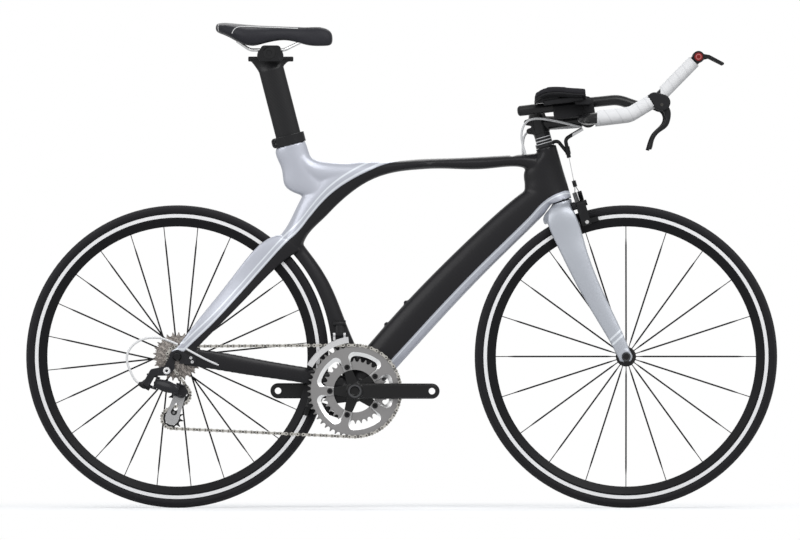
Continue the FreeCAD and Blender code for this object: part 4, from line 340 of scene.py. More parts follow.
def start_material(name, metallic=0.0, roughness=0.4, coat=0.0, coat_roughness=0.08, specular=0.16):
    """New material with the plain values of its shader, and its node tree."""
    material = bpy.data.materials.new(name)
    material.use_nodes = True
    tree = material.node_tree
    tree.nodes.clear()
    shader = place(tree, "ShaderNodeBsdfPrincipled",
                   {"Metallic": metallic, "Roughness": roughness, "Coat Weight": coat,
                    "Coat Roughness": coat_roughness, "Specular IOR Level": specular})
    place(tree, "ShaderNodeOutputMaterial", {0: Value(shader)})
    return material, tree


def finished(material, colour, height, strength, depth=0.0001, **others):
    """Feeds a material's shader its colour, its relief and any other sockets."""
    tree = material.node_tree
    relief = place(tree, "ShaderNodeBump", {"Height": height, "Strength": strength, "Distance": depth})
    for socket, source in {"Base Color": colour, "Normal": Value(relief), **others}.items():
        feed(tree.nodes["Principled BSDF"], socket, source)
    return material


def solid_finish(name, colour, metallic, roughness, spread=0.08, scale=700.0, strength=0.08, coat=0.0,
                 scuff=0.25, scuff_colour=None, specular=0.16):
    """One colour with grain in it and in its gloss, and a few handling marks."""
    material, tree = start_material(name, metallic, roughness, coat, specular=specular)
    shade, height = grain(tree, scale, 0.82)
    [marks] = use_group(tree, SCUFFS, Amount=scuff)
    worn = scuff_colour or tuple(min(1.0, channel * 1.6 + 0.02) for channel in colour)
    gloss = shade.span(0.8, 1.0, roughness + spread, max(0.03, roughness - spread))
    return finished(material, marks.mix(shade.darken(colour), worn), height, strength, 0.0002, Roughness=gloss)


def edge_curve(along, points, floor, ceiling):
    """Height of a paint edge at a place along the bike, on a curve that lies between a floor and a ceiling."""
    low, high = points[0][0], points[-1][0]
    node = place(along.tree, "ShaderNodeFloatCurve", {"Value": along.span(low, high)})
    scaled = [((x - low) / (high - low), (z - floor) / (ceiling - floor)) for x, z in points]
    curve = node.mapping.curves[0]
    curve.points[0].location = scaled[0]
    curve.points[1].location = scaled[-1]
    for spot in scaled[1:-1]:
        curve.points.new(*spot)
    node.mapping.update()
    return Value(node) * (ceiling - floor) + floor


def metal_flake(tree, shadow, light):
    """Silver coat: its colour, its gloss and its relief."""
    shade, height = grain(tree, 2600.0, 0.86, 5.0)
    return shade.mix(shadow, light), shade.span(0.86, 1.0, 0.4, 0.3), height


def frame_paint():
    """Black coat with a silver mast and stays, and a silver band under the down tube."""
    material, tree = start_material("two_tone_coat", 0.0, 0.34, 0.1, 0.2)
    x, y, z = bike_place(tree)
    above = z - edge_curve(x, REAR_EDGE, 0.3, 0.8)
    below = edge_curve(x, LOW_EDGE, 0.3, 0.72) - z
    chainstay = (x > STAY_END) * (1.0 - (z + x * STAY_SLOPE > STAY_TOP))
    silver_rear = (above > 0.0) * (x < SILVER_END) * (1.0 - chainstay)
    silver_low = (below > 0.0) * (x > BAND_START)
    silver = silver_rear | silver_low
    lines = above.bands(REAR_LINES) * silver_rear | below.bands(LOW_LINES) * silver_low
    twill = use_group(tree, TWILL, Pitch=0.0022)[0]
    black = (twill * 0.35).mix(BLACK_COAT, BLACK_WEAVE)
    flake, gloss, height = metal_flake(tree, SILVER_SHADE, SILVER_COAT)
    colour = silver.mix(black, lines.mix(flake, STRIPE_COAT))
    return finished(material, colour, height, 0.02, Metallic=silver * 0.35, Roughness=gloss)


def fork_paint():
    """Silver coat with a pale double line near the tips and a dark crown race."""
    material, tree = start_material("fork_coat", 0.35, 0.34, 0.1, 0.2)
    x, y, z = bike_place(tree)
    lines = (z + x * TIP_SLOPE).bands(TIP_LINES)
    race = z + x * RACE_SLOPE > RACE_HEIGHT
    flake, gloss, height = metal_flake(tree, FORK_SHADE, FORK_SILVER)
    colour = race.mix(lines.mix(flake, STRIPE_COAT), BLACK_COAT)
    return finished(material, colour, height, 0.02, Roughness=gloss)


def rim_finish(name, axle):
    """Black anodised rim with a bare, finely turned brake track."""
    material, tree = start_material(name, specular=0.11)
    track, radius = ring_about(tree, axle, RIM_RADIUS - TRACK_INNER, RIM_RADIUS - TRACK_OUTER)
    shade = grain(tree, 1200.0)[0]
    black = shade.darken((0.008, 0.008, 0.0092))
    bare = shade.mix((0.5, 0.5, 0.51), (0.78, 0.78, 0.79))
    [marks] = use_group(tree, LATHE, Radius=radius, Pitch=0.0006)
    return finished(material, track.mix(black, bare), marks * track, 0.15, Metallic=track * 0.55)


def tyre_finish(name, axle):
    """Rubber with a fine file tread on the crown and moulded rings on the side walls."""
    material, tree = start_material(name, 0.0, 0.62, specular=0.11)
    crown, radius = ring_about(tree, axle, TREAD_START)
    x, y, z = bike_place(tree)
    shade, height = grain(tree, 1600.0, 0.7, 20.0)
    ribs = (turn_about(x, z, axle) * 720.0 + abs(y) * 2600.0).math("SINE")
    tread = ribs.span(-0.4, 0.4) * crown
    [rings] = use_group(tree, LATHE, Radius=radius, Pitch=0.0022)
    colour = crown.mix(shade.darken((0.016, 0.0155, 0.0175)), (0.022, 0.0215, 0.0235))
    return finished(material, colour, tread + rings * (0.6 - crown) + height, 0.35, 0.0004)


def ring_finish():
    """Grey chainrings: satin faces with bright bevels round the openings, darker teeth."""
    material, tree = start_material("chainring_alloy", 0.85, 0.36)
    normal = parts_of(Value(place(tree, "ShaderNodeNewGeometry"), "True Normal"))
    bevel = abs(normal[1]).between(0.12, 0.97)
    teeth, radius = ring_about(tree, CRANK_AXLE, TEETH_START)
    shade = grain(tree, 1500.0, 0.75)[0]
    face = teeth.mix(shade.darken((0.26, 0.255, 0.255)), (0.17, 0.168, 0.165))
    [marks] = use_group(tree, LATHE, Radius=radius, Pitch=0.0008)
    return finished(material, bevel.mix(face, (0.78, 0.78, 0.78)), marks, 0.1)


def steel_finish(name, colour, roughness):
    """Nickel-plated steel with uneven patches in its colour and gloss."""
    material, tree = start_material(name, 0.9, roughness)
    shade, height = grain(tree, 900.0, 0.55, 160.0)
    gloss = shade.span(0.5, 1.0, roughness + 0.12, roughness - 0.06)
    return finished(material, shade.darken(colour), height, 0.08, Roughness=gloss)


def cog_finish():
    """Plated cogs, every other one darker as painted shade between them, with painted shade round their roots
    and in their cut-outs.
    """
    material, tree = start_material("cog_steel", 0.6, 0.36)
    x, y, z = bike_place(tree)
    row = ((y - SMALL_COG_SIDE) / COG_PITCH).math("ROUND")
    # Every other cog is painted darker, as shade between the stacked cogs.
    other = abs(row.math("MODULO", 2.0))
    radius = ring_about(tree, REAR_AXLE)[1]
    # Painted shade, nearly black, in the cut-outs and round the tooth roots.
    slot_shade = (turn_about(x, z, REAR_AXLE) * 22.0 + row * 1.7).math("SINE").span(0.35, 0.6)
    rings = (radius * 1700.0).math("SINE").span(0.0, 0.4)
    shade, height = grain(tree, 900.0, 0.6, 160.0)
    plate = other.mix(shade.darken((0.52, 0.475, 0.44)), shade.darken((0.33, 0.3, 0.28)))
    return finished(material, (slot_shade * rings * 0.8).mix(plate, (0.05, 0.048, 0.045)), height, 0.08)


def crank_finish():
    """Gloss black arm with a machined ring round the spindle's open end, and painted shade inside that end."""
    material, tree = start_material("crank_black", 0.0, 0.24, 0.15, 0.15)
    ring = ring_about(tree, CRANK_AXLE, SPINDLE_BORE, SPINDLE_RING)[0]
    bore_shade = ring_about(tree, CRANK_AXLE, outer=SPINDLE_BORE)[0]
    x, y, z = bike_place(tree)
    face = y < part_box("crank_right")[0].y + 0.004
    shade, height = grain(tree, 700.0, patch=30.0)
    colour = (ring * face).mix(shade.darken((0.007, 0.007, 0.0075)), (0.06, 0.06, 0.063))
    # The spindle's open end is painted nearly black, as the shade inside it.
    colour = (bore_shade * face).mix(colour, (0.002, 0.002, 0.002))
    return finished(material, colour, height, 0.04, Roughness=shade.span(0.8, 1.0, 0.3, 0.2))


def bolt_head_finish(name, bolts):
    """Black part with bright bolt heads: place along and up, inner and outer radius of each."""
    material, tree = start_material(name, 0.0, 0.32, 0.1, 0.15)
    heads = 0.0
    for along, up, inner, outer in bolts:
        heads = ring_about(tree, Vector((along, 0, up)), inner, outer)[0] | heads
    shade, height = grain(tree, 900.0)
    [marks] = use_group(tree, SCUFFS, Amount=0.3)
    black = marks.mix(shade.darken((0.015, 0.015, 0.018)), (0.08, 0.08, 0.09))
    return finished(material, heads.mix(black, (0.66, 0.66, 0.67)), height, 0.08, Metallic=heads * 0.7)


def brake_pipe_finish():
    """Black guide pipe with a bright end piece, a bare wire below the stop and a black yoke."""
    material, tree = start_material("brake_pipe_black", 0.0, 0.32)
    x, y, z = bike_place(tree)
    wire = z.between(YOKE_TOP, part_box("cable_hanger")[0].z + 0.003)
    bright = (x > PIPE_TIP) * (z > YOKE_TOP) | wire
    shade, height = grain(tree, 900.0)
    colour = bright.mix(shade.darken((0.014, 0.014, 0.015)), shade.darken((0.6, 0.6, 0.61)))
    return finished(material, colour, height, 0.06, Metallic=bright * 0.7)


def tape_finish():
    """White cork tape: wound edges with painted shade along them, pits and faint hand marks."""
    material, tree = start_material("bar_tape_cork", 0.0, 0.62)
    x, y, z = bike_place(tree)
    along, across, up = TAPE_RUN
    wound = x * along + z * up + y * across
    seam = (wound / TAPE_TURN).math("FRACT").span(0.0, 0.14)
    shade = grain(tree, 700.0, 0.82, 30.0)[0]
    white = shade.mix((0.58, 0.58, 0.585), (0.74, 0.74, 0.745))
    relief = seam * 0.45 + cells(tree, 520.0).span(0.05, 0.4) * 0.03
    # Grey along each wound edge is painted shade where the turns overlap.
    return finished(material, seam.mix((0.6, 0.6, 0.61), white), relief, 0.22, 0.0006)


def cover_finish(name, colour, pebble, strength, roughness):
    """Sewn cover: pebbled hide or knitted foam skin."""
    material, tree = start_material(name, 0.0, roughness)
    shade, height = grain(tree, pebble, 0.7, 18.0)
    relief = cells(tree, pebble).span(0.0, 0.6) + height
    return finished(material, shade.darken(colour), relief, strength, 0.0004)


def bar_finish():
    """Satin carbon bar with its twill showing through the lacquer."""
    material, tree = start_material("bar_carbon", 0.0, 0.38, 0.15, 0.2)
    twill, height = use_group(tree, TWILL, Pitch=0.0018)
    shade = grain(tree, 800.0)[0]
    colour = (twill * shade).mix((0.0075, 0.0075, 0.0083), (0.0125, 0.0125, 0.0138))
    return finished(material, colour, height, 0.03, 0.0002)


def shifter_finish():
    """Black shifter with a dark red cap and a paler ring on it."""
    material, tree = start_material("shifter_black", 0.0, 0.36)
    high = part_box("shifter_bodies")[1]
    pivot = high - CAP_CORNER
    x, y, z = bike_place(tree)
    cap = ring_about(tree, pivot, outer=CAP_RADIUS)[0] * (abs(y) > high.y - CAP_FACE)
    ring = ring_about(tree, pivot, *CAP_RING)[0]
    shade, height = grain(tree, 900.0)
    red = ring.mix(shade.darken((0.2, 0.014, 0.014)), (0.46, 0.16, 0.15))
    return finished(material, cap.mix(shade.darken((0.013, 0.013, 0.0145)), red), height, 0.1)


def spacer_finish():
    """Black spacers parted by thin bright joint lines."""
    material, tree = start_material("spacer_black", 0.0, 0.34, 0.2)
    x, y, z = bike_place(tree)
    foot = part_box("headset_spacers")[0].z * STEERER_UP - middle_of("headset_spacers").x * STEERER_BACK
    lines = (z * STEERER_UP - x * STEERER_BACK - foot).bands(SPACER_LINES)
    shade, height = grain(tree, 900.0)
    colour = lines.mix(shade.darken((0.012, 0.012, 0.0135)), (0.62, 0.62, 0.63))
    return finished(material, colour, height, 0.08)


GLOSS_BLACK = solid_finish("gloss_black_metal", (0.01, 0.01, 0.011), 0.0, 0.24, 0.05, 500.0, 0.04, 0.15)
SATIN_BLACK = solid_finish("satin_black_metal", (0.012, 0.012, 0.013), 0.0, 0.36)
MOULDED_BLACK = solid_finish("moulded_black", (0.014, 0.014, 0.0155), 0.0, 0.55, 0.1, 1100.0, 0.2, 0.0, 0.1)
SPOKE_BLACK = solid_finish("spoke_black", (0.007, 0.007, 0.008), 0.0, 0.4, 0.06, 900.0, 0.05, 0.0, 0.15,
                           specular=0.15)
MECH_BLACK = solid_finish("derailleur_black", (0.016, 0.016, 0.019), 0.0, 0.3, 0.08, 900.0, 0.06, 0.1, 0.3,
                          (0.09, 0.09, 0.1))
CAGE_GREY = solid_finish("cage_grey", (0.4, 0.4, 0.405), 0.6, 0.33, 0.08, 900.0, 0.06, 0.0, 0.4,
                         (0.2, 0.2, 0.2))
BRIGHT_ALLOY = solid_finish("bright_alloy", (0.62, 0.62, 0.63), 0.85, 0.27, 0.06, 900.0, 0.04, 0.0, 0.15,
                            (0.4, 0.4, 0.41))
WHITE_JACKET = solid_finish("white_jacket", (0.8, 0.8, 0.805), 0.0, 0.34, 0.06, 900.0, 0.04, 0.1, 0.2,
                            (0.6, 0.6, 0.6))
PULLEY_BLACK = solid_finish("pulley_resin", (0.018, 0.018, 0.019), 0.0, 0.5, 0.1, 900.0, 0.1)
PIPING = solid_finish("white_piping", (0.7, 0.7, 0.69), 0.0, 0.45, 0.08, 1200.0, 0.1)
NICKEL = steel_finish("chain_nickel", (0.5, 0.485, 0.45), 0.34)
INNER_PLATE = steel_finish("inner_plate_steel", (0.15, 0.145, 0.135), 0.42)
PIN_STEEL = steel_finish("pin_steel", (0.07, 0.068, 0.064), 0.4)
RAIL_STEEL = steel_finish("rail_steel", (0.66, 0.66, 0.66), 0.24)

# The finish of each solid.
PARTS_BY_FINISH = (
    (frame_paint(), "main_frame rear_triangle"),
    (fork_paint(), "fork"),
    (bar_finish(), "seatpost base_bar extension_bars"),
    (tape_finish(), "bar_tape"),
    (spacer_finish(), "headset_spacers"),
    (shifter_finish(), "shifter_bodies"),
    (tyre_finish("front_tyre_rubber", FRONT_AXLE), "front_tyre"),
    (tyre_finish("rear_tyre_rubber", REAR_AXLE), "rear_tyre"),
    (rim_finish("front_rim_black", FRONT_AXLE), "front_rim"),
    (rim_finish("rear_rim_black", REAR_AXLE), "rear_rim"),
    (SPOKE_BLACK, "front_spokes rear_spokes"),
    (crank_finish(), "crank_right"),
    (ring_finish(), "chainrings"),
    (NICKEL, "chain"),
    (cog_finish(), "cassette"),
    (bolt_head_finish("knuckle_black", KNUCKLE_BOLTS), "rd_knuckle"),
    (bolt_head_finish("hanger_black", HANGER_BOLTS), "derailleur_hanger"),
    (MECH_BLACK, "rd_outer_link rd_inner_link rd_pivot"),
    (CAGE_GREY, "rd_cage"),
    (PULLEY_BLACK, "guide_pulley tension_pulley"),
    (BRIGHT_ALLOY, "fd_cage"),
    (brake_pipe_finish(), "front_brake_housing"),
    (RAIL_STEEL, "saddle_rails"),
    (cover_finish("saddle_hide", (0.022, 0.022, 0.027), 1500.0, 0.25, 0.5), "saddle"),
    (cover_finish("pad_knit", (0.024, 0.0235, 0.027), 900.0, 0.5, 0.85), "arm_pads"),
    (WHITE_JACKET, "cable_housings rear_shift_housing"),
    (MOULDED_BLACK, "arm_rests lever_hoods"),
    (GLOSS_BLACK, "stem front_hub rear_hub crank_left seat_clamp"),
    (SATIN_BLACK, """front_axle rear_axle front_qr_lever rear_qr_lever chainring_bolts fd_link fd_bracket
     brake_lever_left brake_lever_right shift_lever_left shift_lever_right cable_hanger front_brake_body
     front_brake_arm_left front_brake_arm_right rear_brake_arm_left rear_brake_arm_right frame_bearings
     saddle_clamp"""),
)
LOOKS = {label: look for look, labels in PARTS_BY_FINISH for label in labels.split()}


# Modelling helpers.

CREASE_ANGLE = math.radians(35)
MERGE_GAP = 1e-5
SIDES = (("left", 1), ("right", -1))


def wear(piece, *materials, slot=0):
    """Gives a piece its materials, with one of them on all its faces."""
    piece.data.materials.clear()
    for material in materials:
        piece.data.materials.append(material)
    for face in piece.data.polygons:
        face.material_index = slot


def dress(piece, body, *labels):
    """Sets a piece on a body in place of solids, in their finish."""
    wear(piece, LOOKS[labels[0]])
    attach(piece, body)
    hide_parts(*labels)


def pick_only(piece):
    bpy.ops.object.select_all(action="DESELECT")
    piece.select_set(True)
    bpy.context.view_layer.objects.active = piece


def apply_modifier(piece, kind, **values):
    pick_only(piece)
    modifier = piece.modifiers.new(kind.lower(), kind)
    set_all(modifier, **values)
    bpy.ops.object.modifier_apply(modifier=modifier.name)


def joined(pieces):
    """Pieces joined into the first of them."""
    pick_only(pieces[0])
    for piece in pieces[1:]:
        piece.select_set(True)
    if len(pieces) > 1:
        bpy.ops.object.join()
    return pieces[0]


def edit_all():
    """Edit mode with the whole mesh selected."""
    bpy.ops.object.mode_set(mode="EDIT")
    bpy.ops.mesh.select_all(action="SELECT")


def close_outwards():
    """Back to object mode, with all faces turned outwards."""
    bpy.ops.mesh.select_all(action="SELECT")
    bpy.ops.mesh.normals_make_consistent()
    bpy.ops.object.mode_set(mode="OBJECT")


def crease(piece):
    """Smooth shading that keeps sharp edges."""
    pick_only(piece)
    bpy.ops.object.shade_smooth_by_angle(angle=CREASE_ANGLE)


def added(name, primitive, **values):
    """New primitive with its place in its mesh, and nothing else selected."""
    bpy.ops.object.select_all(action="DESELECT")
    primitive(**values)
    piece = bpy.context.active_object
    piece.name = name
    bpy.ops.object.transform_apply()
    return piece


def linked(name, data):
    """New object in the scene."""
    piece = bpy.data.objects.new(name, data)
    SCENE.collection.objects.link(piece)
    return piece


def copied(name, *labels):
    """One new piece from copies of CAD nodes, with their loose faces joined up."""
    pieces = []
    for label in labels:
        piece = NODES[label].copy()
        piece.data = NODES[label].data.copy()
        piece.parent = None
        SCENE.collection.objects.link(piece)
        for key in list(piece.keys()):
            del piece[key]
        pieces.append(piece)
    piece = joined(pieces)
    piece.name = name
    piece.data.name = name
    edit_all()
    bpy.ops.mesh.remove_doubles(threshold=MERGE_GAP)
    bpy.ops.object.mode_set(mode="OBJECT")
    return piece


for label, look in LOOKS.items():
    wear(NODES[label], look)


# Smoothed skins. The mast's flat top, where the seat clamp sits, is left as it is.

SEAT_UP = Vector((-0.2504, 0.0, 0.9681))
MAST_FREE = 0.558


def blended_shell(name, voxel, rounds, body, *labels, free=None):
    """Copies of solids flowed into one skin, their joints filleted where the points are free."""
    shell = copied(name, *labels)
    apply_modifier(shell, "REMESH", mode="VOXEL", voxel_size=voxel)
    loose = shell.vertex_groups.new(name="loose")
    loose.add([spot.index for spot in shell.data.vertices if free is None or free(spot.co)], 1.0, "REPLACE")
    apply_modifier(shell, "SMOOTH", factor=0.5, iterations=rounds, vertex_group="loose")
    bpy.ops.object.shade_smooth()
    dress(shell, body, *labels)
    return shell


blended_shell("frame_shell", 0.0026, 6, "frame", "main_frame", "rear_triangle",
              free=lambda spot: (spot - CRANK_AXLE).dot(SEAT_UP) < MAST_FREE)
blended_shell("fork_shell", 0.0024, 5, "steering", "fork")

# Forged and moulded parts with their edges rounded off: voxel, rounds of smoothing, body and solid, for left
# and right where a name has a gap.
SOFTENED = (
    ("hood_shells", 0.0012, 7, "steering", "lever_hoods"),
    ("stem_shell", 0.0010, 4, "steering", "stem"),
    ("rest_shells", 0.0012, 4, "steering", "arm_rests"),
    ("{}_lever_shell", 0.0009, 5, "{}_brake_lever", "brake_lever_{}"),
    ("knuckle_shell", 0.0009, 5, "frame", "rd_knuckle"),
    ("outer_link_shell", 0.0008, 7, "outer_link", "rd_outer_link"),
    ("inner_link_shell", 0.0008, 5, "inner_link", "rd_inner_link"),
    ("lower_knuckle_shell", 0.0008, 5, "lower_knuckle", "rd_pivot"),
    ("crank_{}_shell", 0.0011, 5, "cranks", "crank_{}"),
    ("saddle_clamp_shell", 0.0011, 4, "seat", "saddle_clamp"),
    ("seat_clamp_shell", 0.0009, 4, "frame", "seat_clamp"),
    ("post_shell", 0.0016, 3, "post", "seatpost"),
    ("front_{}_arm_shell", 0.0009, 4, "front_{}_arm", "front_brake_arm_{}"),
    ("rear_{}_arm_shell", 0.0009, 4, "rear_{}_arm", "rear_brake_arm_{}"),
)
SHELLS = {}
for name, voxel, rounds, body, solid in SOFTENED:
    for tag in ("left", "right") if "{}" in name else ("",):
        part = solid.format(tag)
        SHELLS[part] = blended_shell(name.format(tag), voxel, rounds, body.format(tag), part)


# Cables. The routes are those of the solids.

def cable_route(name, points):
    """Smooth open spline through the route's points."""
    data = bpy.data.curves.new(name, "CURVE")
    set_all(data, dimensions="3D", resolution_u=12)
    spline = data.splines.new("NURBS")
    spline.points.add(len(points) - 1)
    for spot, point in zip(spline.points, points):
        spot.co = (*point, 1.0)
    set_all(spline, order_u=3, use_endpoint_u=True)
    return linked(name, data)


def cable_mesh(name, points, radius, material):
    """Round tube on a route, as a mesh, with the line that it follows."""
    route = cable_route(name, points)
    bpy.context.view_layer.update()
    bare = bpy.data.meshes.new_from_object(route)
    line = [vertex.co.copy() for vertex in bare.vertices]
    bpy.data.meshes.remove(bare)
    set_all(route.data, bevel_depth=radius, bevel_resolution=4, use_fill_caps=True)
    pick_only(route)
    bpy.ops.object.convert(target="MESH")
    bpy.ops.object.shade_smooth()
    wear(route, material)
    return route, line


JACKET_RADIUS = 0.0025
HOUSINGS = (
    ("shift_cable_right", "cable_housings", (
        (0.3976, -0.010, 0.8401), (0.3636, -0.020, 0.8481), (0.3316, -0.025, 0.8551), (0.2986, -0.025, 0.8601),
        (0.2746, -0.023, 0.8541), (0.2636, -0.018, 0.8311), (0.2656, -0.011, 0.8041),
        (0.2734, -0.007, 0.7802))),
    ("shift_cable_left", "cable_housings", (
        (0.3976, 0.010, 0.8411), (0.3656, 0.020, 0.8391), (0.3336, 0.026, 0.8371), (0.2996, 0.026, 0.8371),
        (0.2756, 0.023, 0.8301), (0.2666, 0.015, 0.8101), (0.2674, 0.007, 0.7795))),
    ("rear_cable_loop", "rear_shift_housing", (
        (-0.494, -0.072, 0.361), (-0.523, -0.076, 0.374), (-0.547, -0.080, 0.377), (-0.573, -0.084, 0.373),
        (-0.593, -0.087, 0.360), (-0.605, -0.088, 0.342), (-0.606, -0.088, 0.324), (-0.599, -0.086, 0.304),
        (-0.5863, -0.082, 0.2784), (-0.5777, -0.082, 0.2757))),
    ("stay_cable", "rear_shift_housing", (
        (-0.404, -0.066, 0.3155), (-0.429, -0.0735, 0.326), (-0.451, -0.0755, 0.338),
        (-0.475, -0.0725, 0.351))),
)


def make_housing(name, solid, points):
    """Stiff cord from place to place on the bike, in place of its solid. Those away from the bars are set on
    the frame.
    """
    tube, line = cable_mesh(name, points, JACKET_RADIUS, WHITE_JACKET)
    start = points[0]
    if solid == "cable_housings":
        start = points[-1]
        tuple(start)
        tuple(points[2])
        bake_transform(tube)
    else:
        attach(tube, "frame")
    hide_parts(solid)
    length = sum((second - first).length for first, second in zip(line, line[1:]))
    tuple(start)
    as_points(line)


for housing in HOUSINGS:
    make_housing(*housing)


# Small turned pieces.

def turned(name, start, axis, steps, material, sides=24):
    """Round piece drawn out along an axis, in steps of way and radius."""
    way, radius = steps[0]
    piece = added(name, bpy.ops.mesh.primitive_circle_add, vertices=sides, radius=radius, fill_type="NGON",
                  location=start + axis * way, rotation=axis.to_track_quat("Z", "Y").to_euler())
    edit_all()
    for next_way, next_radius in steps[1:]:
        bpy.ops.mesh.extrude_region_move(TRANSFORM_OT_translate={"value": axis * (next_way - way)})
        scale = next_radius / radius
        bpy.ops.transform.resize(value=(scale, scale, scale), center_override=start + axis * next_way)
        way, radius = next_way, next_radius
    close_outwards()
    crease(piece)
    wear(piece, material)
    return piece


VALVE_STEPS = ((-0.002, 0.0048), (0.0, 0.0048), (0.0028, 0.0044), (0.0028, 0.0031), (0.024, 0.0030),
               (0.0245, 0.0036), (0.034, 0.0036), (0.0355, 0.0030), (0.0365, 0.0017), (0.0375, 0.0012))


def make_valve(name, rim, axle, angle, body):
    """Inner-tube valve with its collar and cap, pointing at the hub from the rim's inner edge."""
    inward = Vector((-math.cos(math.radians(angle)), 0, -math.sin(math.radians(angle))))
    spots = NODES[rim].data.vertices
    radius = min(math.hypot(spot.co.x - axle.x, spot.co.z - axle.z) for spot in spots)
    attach(turned(name, axle - inward * radius, inward, VALVE_STEPS, PULLEY_BLACK), body)


make_valve("front_valve", "front_rim", FRONT_AXLE, 117.0, "front_wheel")
make_valve("rear_valve", "rear_rim", REAR_AXLE, 43.5, "rear_wheel")

# Domed plugs in the rear ends of both extensions.
PLUG_STEPS = ((-0.003, 0.0095), (0.0, 0.0111), (0.0022, 0.0104), (0.0042, 0.0086), (0.0055, 0.0060),
              (0.006, 0.0030))
EXTENSION_END = Vector((0.2616, 0.055, 0.8761))
EXTENSION_BACK = Vector((-0.138, 0.0, -0.017)).normalized()
for tag, side in SIDES:
    start = Vector((EXTENSION_END.x, EXTENSION_END.y * side, EXTENSION_END.z))
    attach(turned(f"end_plug_{tag}", start, EXTENSION_BACK, PLUG_STEPS, MOULDED_BLACK), "steering")

# Screw heads on the outer faces of both sides: steps of way and radius from the face, then place along and up.
PAD_BOLT = ((-0.001, 0.0042), (0.0012, 0.0042), (0.0018, 0.0036), (0.0018, 0.0020), (0.0006, 0.0019))
LEVER_SCREW = ((-0.001, 0.0036), (0.0008, 0.0036), (0.0012, 0.0031), (0.0012, 0.0017), (0.0002, 0.0016))
CLAMP_BOSS = ((-0.001, 0.0135), (0.0012, 0.0135), (0.0026, 0.0118), (0.0026, 0.0062), (0.0006, 0.0058))
SCREWS = (
    ("pad_bolt", "front_brake_arm_{}", "front_{}_arm", (0.409, 0.631), PAD_BOLT, RAIL_STEEL),
    ("lever_screw", "lever_hoods", "steering", (0.5716, 0.8881), LEVER_SCREW, PIN_STEEL),
    ("clamp_boss", "saddle_clamp", "seat", (-0.2924, 1.004), CLAMP_BOSS, GLOSS_BLACK),
)
bpy.context.view_layer.update()
for name, solid, body, (along, up), steps, material in SCREWS:
    for tag, side in SIDES:
        outward = Vector((0, side, 0))
        face = SHELLS[solid.format(tag)].ray_cast(Vector((along, side, up)), -outward)[1]
        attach(turned(f"{name}_{tag}", face, outward, steps, material), body.format(tag))

# Rear derailleur: the barrel at the housing's end, and the rounded face of the outer link.
BARREL_STEPS = ((0.0, 0.0027), (0.002, 0.0034), (0.0035, 0.0054), (0.008, 0.0062), (0.0135, 0.0062),
                (0.0175, 0.0052), (0.0195, 0.0038), (0.028, 0.0036))
BARREL_START = Vector((-0.5795, -0.082, 0.2766))
BARREL_AXIS = Vector((0.85, 0.0, -0.53)).normalized()
LINK_UP = Vector((0.3, 0.0, 0.954)).normalized()
LINK_OUT = math.radians(19)
LINK_FACE = (0.030, 0.0065, 0.013)
LINK_FACE_OUT = 0.003


def make_link_face():
    """Oval swelling on the outer side of the link, laid along it."""
    forward = Vector((LINK_UP.z, 0, -LINK_UP.x))
    along = forward * math.cos(LINK_OUT) - Vector((0, math.sin(LINK_OUT), 0))
    across = LINK_UP.cross(along)
    face = added("outer_link_face", bpy.ops.mesh.primitive_uv_sphere_add, segments=40, ring_count=20, radius=1,
                 scale=LINK_FACE)
    turn = Matrix((along, across, LINK_UP)).transposed().to_4x4()
    turn.translation = middle_of("rd_outer_link") - across * LINK_FACE_OUT
    face.data.transform(turn)
    bpy.ops.object.shade_smooth()
    wear(face, MECH_BLACK)
    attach(face, "outer_link")


make_link_face()
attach(turned("barrel_adjuster", BARREL_START, BARREL_AXIS, BARREL_STEPS, MOULDED_BLACK), "frame")


# What carries each arm pad: size, then place on the left side.
BRACKETS = (
    ("pad_bracket", (0.088, 0.060, 0.012), (0.356, 0.083, 0.8985)),
    ("cup_foot", (0.052, 0.056, 0.013), (0.321, 0.083, 0.902)),
    ("clamp_block", (0.066, 0.030, 0.030), (0.368, 0.055, 0.876)),
)
BRACKET_EDGE = 0.003


def make_bracket(name, size, spot):
    """Block with rounded edges, laid along the extension."""
    rise = math.atan2(-EXTENSION_BACK.z, -EXTENSION_BACK.x)
    bracket = added(name, bpy.ops.mesh.primitive_cube_add, size=1, location=spot, rotation=(0, -rise, 0),
                    scale=size)
    edit_all()
    bpy.ops.mesh.bevel(offset=BRACKET_EDGE, segments=3, affect="EDGES")
    bpy.ops.object.mode_set(mode="OBJECT")
    crease(bracket)
    wear(bracket, MOULDED_BLACK)
    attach(bracket, "steering")


for name, size, (along, across, up) in BRACKETS:
    for tag, side in SIDES:
        make_bracket(f"{name}_{tag}", size, (along, across * side, up))


# Chain. Its links lie where those of the solid do.

CHAIN_PITCH = 0.0127
LINK_END = 0.0040
PLATE_WALL = 0.00085
INNER_FACE = 0.00115
OUTER_FACE = INNER_FACE + PLATE_WALL + 0.00005
PIN_END = OUTER_FACE + PLATE_WALL + 0.0001
PIN_RADIUS = 0.0018
ROLLER_RADIUS = 0.00387
CHAIN_FINISHES = (NICKEL, INNER_PLATE, PIN_STEEL)


def choose(piece, test):
    """In edit mode, selects the points whose place passes a test."""
    mesh = bmesh.from_edit_mesh(piece.data)
    for vertex in mesh.verts:
        vertex.select = test(vertex.co)
    mesh.select_flush_mode()
    bmesh.update_edit_mesh(piece.data)


def chain_wear(piece, finish):
    wear(piece, *CHAIN_FINISHES, slot=CHAIN_FINISHES.index(finish))
    return piece


